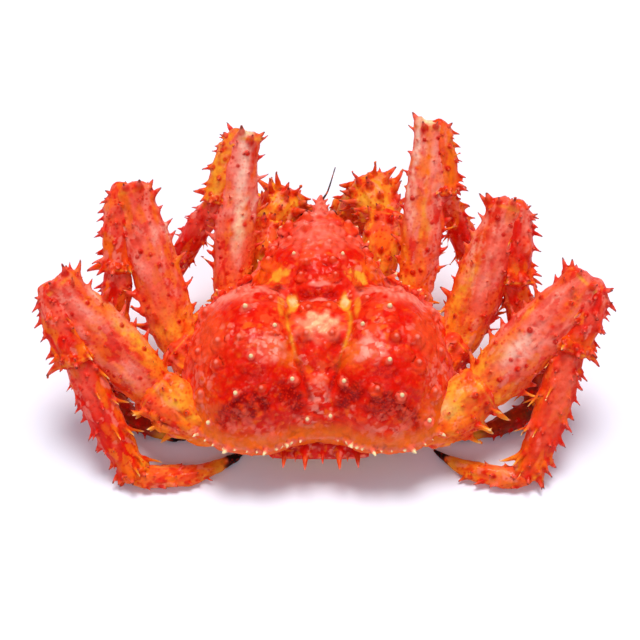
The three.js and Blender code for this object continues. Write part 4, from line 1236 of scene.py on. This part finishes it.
def shell_material(name, grain_size, roughness, coat):
    """Wet cooked shell: painted pigment with fine mottling, granules and pits, under a clear glossy coat."""
    material = bpy.data.materials.new(name)
    material.use_nodes = True
    tree = material.node_tree
    place = node(tree, "TexCoord", {}).outputs["Object"]
    mottle = noise(tree, place, 260, 4)
    pore = noise(tree, place, 1500, 3)
    granule = node(tree, "TexVoronoi", {"Vector": place, "Scale": 1 / grain_size}).outputs["Distance"]
    grain = attribute(tree, "grain")

    mottling = {"Value": ramp(tree, mottle, 0.8, 1.25), "Color": attribute(tree, "pigment", "Color")}
    mottled = node(tree, "HueSaturation", mottling).outputs["Color"]
    specks = combine(tree, "MULTIPLY", ramp(tree, granule, 0.9, -1.1), grain)
    speckled = node(tree, "Mix", {"Factor": specks, "A": mottled, "B": (*SCARLET, 1)}, data_type="RGBA")

    uneven = ramp(tree, mottle, roughness - 0.1, roughness + 0.14)
    polish = ramp(tree, attribute(tree, "gloss"), -0.1, 0.1)
    granules = combine(tree, "MULTIPLY", granule, grain)
    relief = combine(tree, "SUBTRACT", ramp(tree, pore, 0, 0.5), granules)
    bump = node(tree, "Bump", {"Strength": 0.7, "Distance": 0.0005, "Height": relief})
    connect(tree, tree.nodes["Principled BSDF"], {
        "Base Color": speckled.outputs["Result"],
        "Roughness": combine(tree, "SUBTRACT", uneven, polish),
        "Normal": bump.outputs["Normal"],
        "Coat Weight": coat,
        "Coat Roughness": 0.12,
        "Specular IOR Level": 0.04,
    })
    return material


MATERIALS = {
    "carapace_shell": shell_material("wet carapace", 0.0016, 0.42, 0.16),
    "leg_shell": shell_material("wet leg shell", 0.002, 0.42, 0.14),
    "claw_shell": shell_material("wet claw shell", 0.002, 0.42, 0.14),
    "abdomen_shell": shell_material("wet abdomen", 0.0022, 0.45, 0.14),
    "belly_shell": shell_material("belly skin", 0.0026, 0.5, 0.2),
    "eye": shell_material("eye", 0.0006, 0.2, 1.0),
    "antenna": shell_material("antenna", 0.0012, 0.45, 0.2),
}


def settle(piece, node, slot):
    piece.data.materials.append(MATERIALS[slot])
    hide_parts(node)
    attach(piece, "root")


# ---- Pieces ----


def roughen(cells, height, lumps, seed):
    """How far low rounded lumps, of each given size and depth, raise a skin, but not on its spines."""
    bare = 1 - smoothstep(0.1, 0.4, height)
    rise = np.zeros(len(cells))
    for i, (size, depth) in enumerate(lumps):
        near, chance = grains(cells, size, seed + i)
        swell = smoothstep(0.8, 0.1, near) * (chance * 1.6 - 0.35)
        rise += (swell + 0.4 * waves(cells, size * 2.6, seed + i)) * depth
    return (rise * bare)[:, None]


def shape_and_sense(piece, spines, lumps, seed, cells=lambda points: points):
    """Finishes a fused skin's form, and returns its points, normals and hollows."""
    points = sharpen(points_of(piece), spines)
    height, _, _ = spine_fields(points, spines)
    points = points + normals_of(piece) * roughen(cells(points), height, lumps, seed)
    points[:, 2] = points[:, 2].clip(0)
    set_points(piece, points)
    normals = normals_of(piece)
    return points, normals, hollows(points, normals, Neighbours(piece.data), HOLLOW_ROUNDS)


def hidden(spine, segment, neighbours):
    """Whether a spine's tip would be inside another segment."""
    tip = spine["foot"] + spine["direction"] * spine["length"]
    for other in neighbours:
        if other is segment:
            continue
        x, y, z = other.to_own(tip)
        share = y / other.length
        if 0 <= share <= 1:
            off = math.hypot(x - other.bow(share) * other.side, z / other.form["flat"])
            if off < other.half_width(share):
                return True
    return False


def build_limb_segment(segment, neighbours):
    spines = [spine for spine in segment.spines() if not hidden(spine, segment, neighbours)]
    shells = [segment.skin_shell()] + [spine_shell(spine) for spine in spines]
    piece = fuse(f"{segment.name}_skin", shells, VOXEL["limb"], 2)
    points, normals, hollow = shape_and_sense(
        piece, spines, LUMPS["base" if segment.kind == "base" else "limb"], segment.seed,
        lambda points: segment.to_own(points) * LUMP_STRETCH,
    )
    colour, height = paint_spines(limb_colour(points, normals, hollow, segment), points, spines)
    gloss = 0.5 + 0.3 * height - 0.5 * smoothstep(0.1, 0.8, hollow)
    paint(piece, colour, gloss, grain=0.5 - 0.5 * height)
    settle(piece, segment.name, "claw_shell" if segment.limb.startswith("claw") else "leg_shell")


def build_carapace():
    beak, beak_spines = rostrum()
    spines = carapace_spines() + beak_spines
    shells = [carapace_shell(), beak] + [spine_shell(spine) for spine in spines]
    piece = fuse("carapace_skin", shells, VOXEL["carapace"], 2)
    points, _, hollow = shape_and_sense(piece, spines, LUMPS["carapace"], CARAPACE_SEED)
    colour, height = paint_spines(carapace_colour(points, hollow), points, spines)
    gloss = 0.6 + 0.3 * height - 0.6 * smoothstep(0.1, 0.8, hollow)
    dark = smoothstep(0.75, 0.45, colour[:, 0])
    paint(piece, colour, gloss, grain=(0.25 + 0.75 * dark) * (1 - height))
    settle(piece, "carapace", "carapace_shell")


def build_thorax():
    centre = np.array(THORAX["centre"])
    angles = np.linspace(0, 2 * math.pi, 64, endpoint=False)
    plan = np.column_stack([np.cos(angles) * THORAX["half_width"], np.sin(angles) * THORAX["half_length"]])
    rings = []
    for depth, width in THORAX_ROWS:
        z = THORAX["top"] + (THORAX["bottom"] - THORAX["top"]) * depth
        rings.append(np.column_stack([centre + plan * width, np.full(len(plan), z)]))
    shells = [closed_rings(np.array(rings))]
    for limb in [*LEGS.values(), *CLAWS.values()]:
        hip = np.array(limb["hip"], float)
        start = np.array([hip[0] * COXA["start_x"], hip[1] * COXA["start_y"], COXA["height"]])
        shells.append(tube_shell(np.linspace(start, hip, 8), np.linspace(COXA["root"], COXA["tip"], 8), 24))
    piece = fuse("thorax_skin", shells, VOXEL["belly"], 4)
    points = points_of(piece)
    colour = mix(plain(AMBER, points), CREAM, 0.35 + 0.25 * waves(points, 9, 301))
    paint(piece, mix(colour, ORANGE, smoothstep(30, 70, np.abs(points[:, 0]))))
    settle(piece, "thorax", "belly_shell")


def rounded(value, power):
    """Squares off a sine or cosine, so that an oval has blunter corners."""
    return np.sign(value) * np.abs(value) ** power


def abdomen_shell():
    """A flat band of plates that runs over the back edge and forwards under the body."""
    line = curve_through(ABDOMEN_LINE, 10)
    tangent = np.gradient(line, axis=0)
    tangent /= np.linalg.norm(tangent, axis=1)[:, None]
    out = np.cross((1.0, 0, 0), tangent)
    shares = np.linspace(0, 1, len(line))
    half_widths = np.interp(shares, np.linspace(0, 1, len(ABDOMEN_HALF_WIDTHS)), ABDOMEN_HALF_WIDTHS)
    angles = np.linspace(0, 2 * math.pi, 60, endpoint=False)
    rings = []
    for at, way, half, share in zip(line, out, half_widths, shares):
        plate = 1 - 0.25 * bell(share * ABDOMEN_PLATES % 1, 0.5, 0.1)
        x = rounded(np.cos(angles), 0.7) * half
        depth = rounded(np.sin(angles), 0.6) * ABDOMEN_THICKNESS / 2 * plate
        rings.append(at + np.column_stack([x, np.zeros((len(x), 2))]) + depth[:, None] * way)
    return closed_rings(np.array(rings))


def build_abdomen():
    spines = [
        spine_at((x, y, z), (x * 0.004, -1, -0.12), length, STOUT["abdomen"], "pink")
        for x, y, z, length in ABDOMEN_SPINES
    ]
    shells = [abdomen_shell()] + [spine_shell(spine) for spine in spines]
    piece = fuse("abdomen_skin", shells, VOXEL["limb"], 2)
    points = sharpen(points_of(piece), spines)
    set_points(piece, points)
    # red darkened unevenly towards deep red, partly the shell's own colour and partly painted shade under the
    # carapace's edge
    colour = mix(plain(RED, points), DEEP, 0.3 + 0.3 * waves(points, 9, 311))
    colour = mosaic(colour, points, ABDOMEN_SCALES)
    colour = mix(colour, AMBER, 1 - smoothstep(9, 16, points[:, 2]))
    paint(piece, paint_spines(colour, points, spines)[0])
    settle(piece, "abdomen", "abdomen_shell")


def build_tube(node_name, line, radii, sides, slot, colour_of):
    """A plain round piece along a line, coloured by a function of its points."""
    piece = fuse(f"{node_name}_skin", [tube_shell(line, radii, sides)], None, 0)
    paint(piece, colour_of(points_of(piece)))
    settle(piece, node_name, slot)


def eye_colour(points):
    along = (points[:, 1] - EYE["root"][1]) / (EYE["tip"][1] - EYE["root"][1])
    return mix(plain(ORANGE, points), HORN, smoothstep(0.5, 0.8, along))


def mouth_colour(points):
    return mix(plain(ORANGE, points), CREAM, 0.3 + 0.3 * waves(points, 8, 321))


def antenna_colour(points):
    return mix(plain(ORANGE, points), HORN, smoothstep(0, 0.5, 0.5 + 0.3 * waves(points, 6, 331)))


def build_head():
    for word, side in (("left", -1), ("right", 1)):
        mirror = np.array([side, 1, 1])
        stalk = np.linspace(np.array(EYE["root"]) * mirror, np.array(EYE["tip"]) * mirror, 8)
        build_tube(f"eye_{word}", stalk, np.linspace(*EYE["radii"], 8), 24, "eye", eye_colour)
        line = curve_through([np.array(MOUTH_LIMB[end]) * mirror for end in ("root", "bend", "tip")], 12)
        joints = bell(np.linspace(0, MOUTH_LIMB["joints"], len(line)) % 1, 0.5, 0.12)
        radii = np.linspace(*MOUTH_LIMB["radii"], len(line)) * (1 - 0.18 * joints)
        build_tube(f"mouth_limb_{word}", line, radii, 20, "belly_shell", mouth_colour)
    for name, course in ANTENNAE.items():
        line = curve_through(course, 14)
        build_tube(name, line, np.linspace(*ANTENNA_RADII, len(line)), 10, "antenna", antenna_colour)


def build_crab():
    build_carapace()
    segments = [*leg_segments(), *claw_segments()]
    for segment in segments:
        build_limb_segment(segment, segments)
    build_thorax()
    build_abdomen()
    build_head()


# ---- Setting ----

AIM = (Vector((0, 18, 50)) - Vector(BOX_CENTRE)) * MM
VIEW_DISTANCE = 1.0
VIEW_ELEVATION = math.radians(50)
VIEW_WIDTH = 0.364  # what the frame spans at the aim's distance
SENSOR = 36
IMAGE_WIDTH = 640  # pixels
OFF_CENTRE = 1  # pixels by which the crab stands left of the photograph's middle
FLOOR_REACH = 4
FLOOR_COLOUR = (0.91, 0.915, 1.0, 1)
SKY_COLOUR = (0.84, 0.87, 1, 1)


def build_camera():
    data = bpy.data.cameras.new("camera")
    data.sensor_width = SENSOR
    data.lens = SENSOR * VIEW_DISTANCE / VIEW_WIDTH
    data.shift_x = OFF_CENTRE / IMAGE_WIDTH
    camera = bpy.data.objects.new("camera", data)
    back = Vector((0, -math.cos(VIEW_ELEVATION), math.sin(VIEW_ELEVATION)))
    camera.location = AIM + back * VIEW_DISTANCE
    camera.rotation_euler = (-back).to_track_quat("-Z", "Y").to_euler()
    bpy.context.scene.collection.objects.link(camera)
    bpy.context.scene.camera = camera


def build_floor():
    mesh = bpy.data.meshes.new("floor")
    corners = [(x * FLOOR_REACH, y * FLOOR_REACH, 0) for x, y in ((-1, -1), (1, -1), (1, 1), (-1, 1))]
    mesh.from_pydata(corners, [], [(0, 1, 2, 3)])
    floor = bpy.data.objects.new("floor", mesh)
    bpy.context.scene.collection.objects.link(floor)
    material = bpy.data.materials.new("white table")
    material.use_nodes = True
    shader = material.node_tree.nodes["Principled BSDF"]
    connect(material.node_tree, shader, {"Base Color": FLOOR_COLOUR, "Roughness": 0.7})
    mesh.materials.append(material)


def sun(name, azimuth, elevation, width, strength, colour=(1, 1, 1)):
    """Even light from one side, as from a soft box as wide as the given angle."""
    data = bpy.data.lights.new(name, "SUN")
    data.angle = math.radians(width)
    data.energy = strength
    data.color = colour
    light = bpy.data.objects.new(name, data)
    turn, rise = math.radians(azimuth), math.radians(elevation)
    source = Vector((math.sin(turn) * math.cos(rise), math.cos(turn) * math.cos(rise), math.sin(rise)))
    light.rotation_euler = source.to_track_quat("Z", "Y").to_euler()
    bpy.context.scene.collection.objects.link(light)


def build_world():
    """White walls under a dim ceiling, fainter where the wet shell mirrors them."""
    world = bpy.data.worlds.new("studio")
    world.use_nodes = True
    tree = world.node_tree
    place = node(tree, "TexCoord", {}).outputs["Generated"]
    height = node(tree, "SeparateXYZ", {"Vector": place}).outputs["Z"]
    wall = ramp(tree, height, 1.0, 0.15, top=0.1)
    mirrored = ramp(tree, node(tree, "LightPath", {}).outputs["Is Glossy Ray"], 1.0, 0.25)
    strength = combine(tree, "MULTIPLY", wall, mirrored)
    connect(tree, tree.nodes["Background"], {"Strength": strength, "Color": SKY_COLOUR})
    bpy.context.scene.world = world


def build_light():
    build_world()
    sun("overhead", 0, 77, 24, 2.42)
    sun("camera side", 180, 38, 50, 0.8, (0.8, 0.87, 1))
    sun("left", -75, 45, 40, 0.4)
    sun("right", 75, 45, 40, 0.4)
    bpy.context.scene.view_settings.view_transform = "Standard"


build_camera()
build_crab()
build_floor()
build_light()
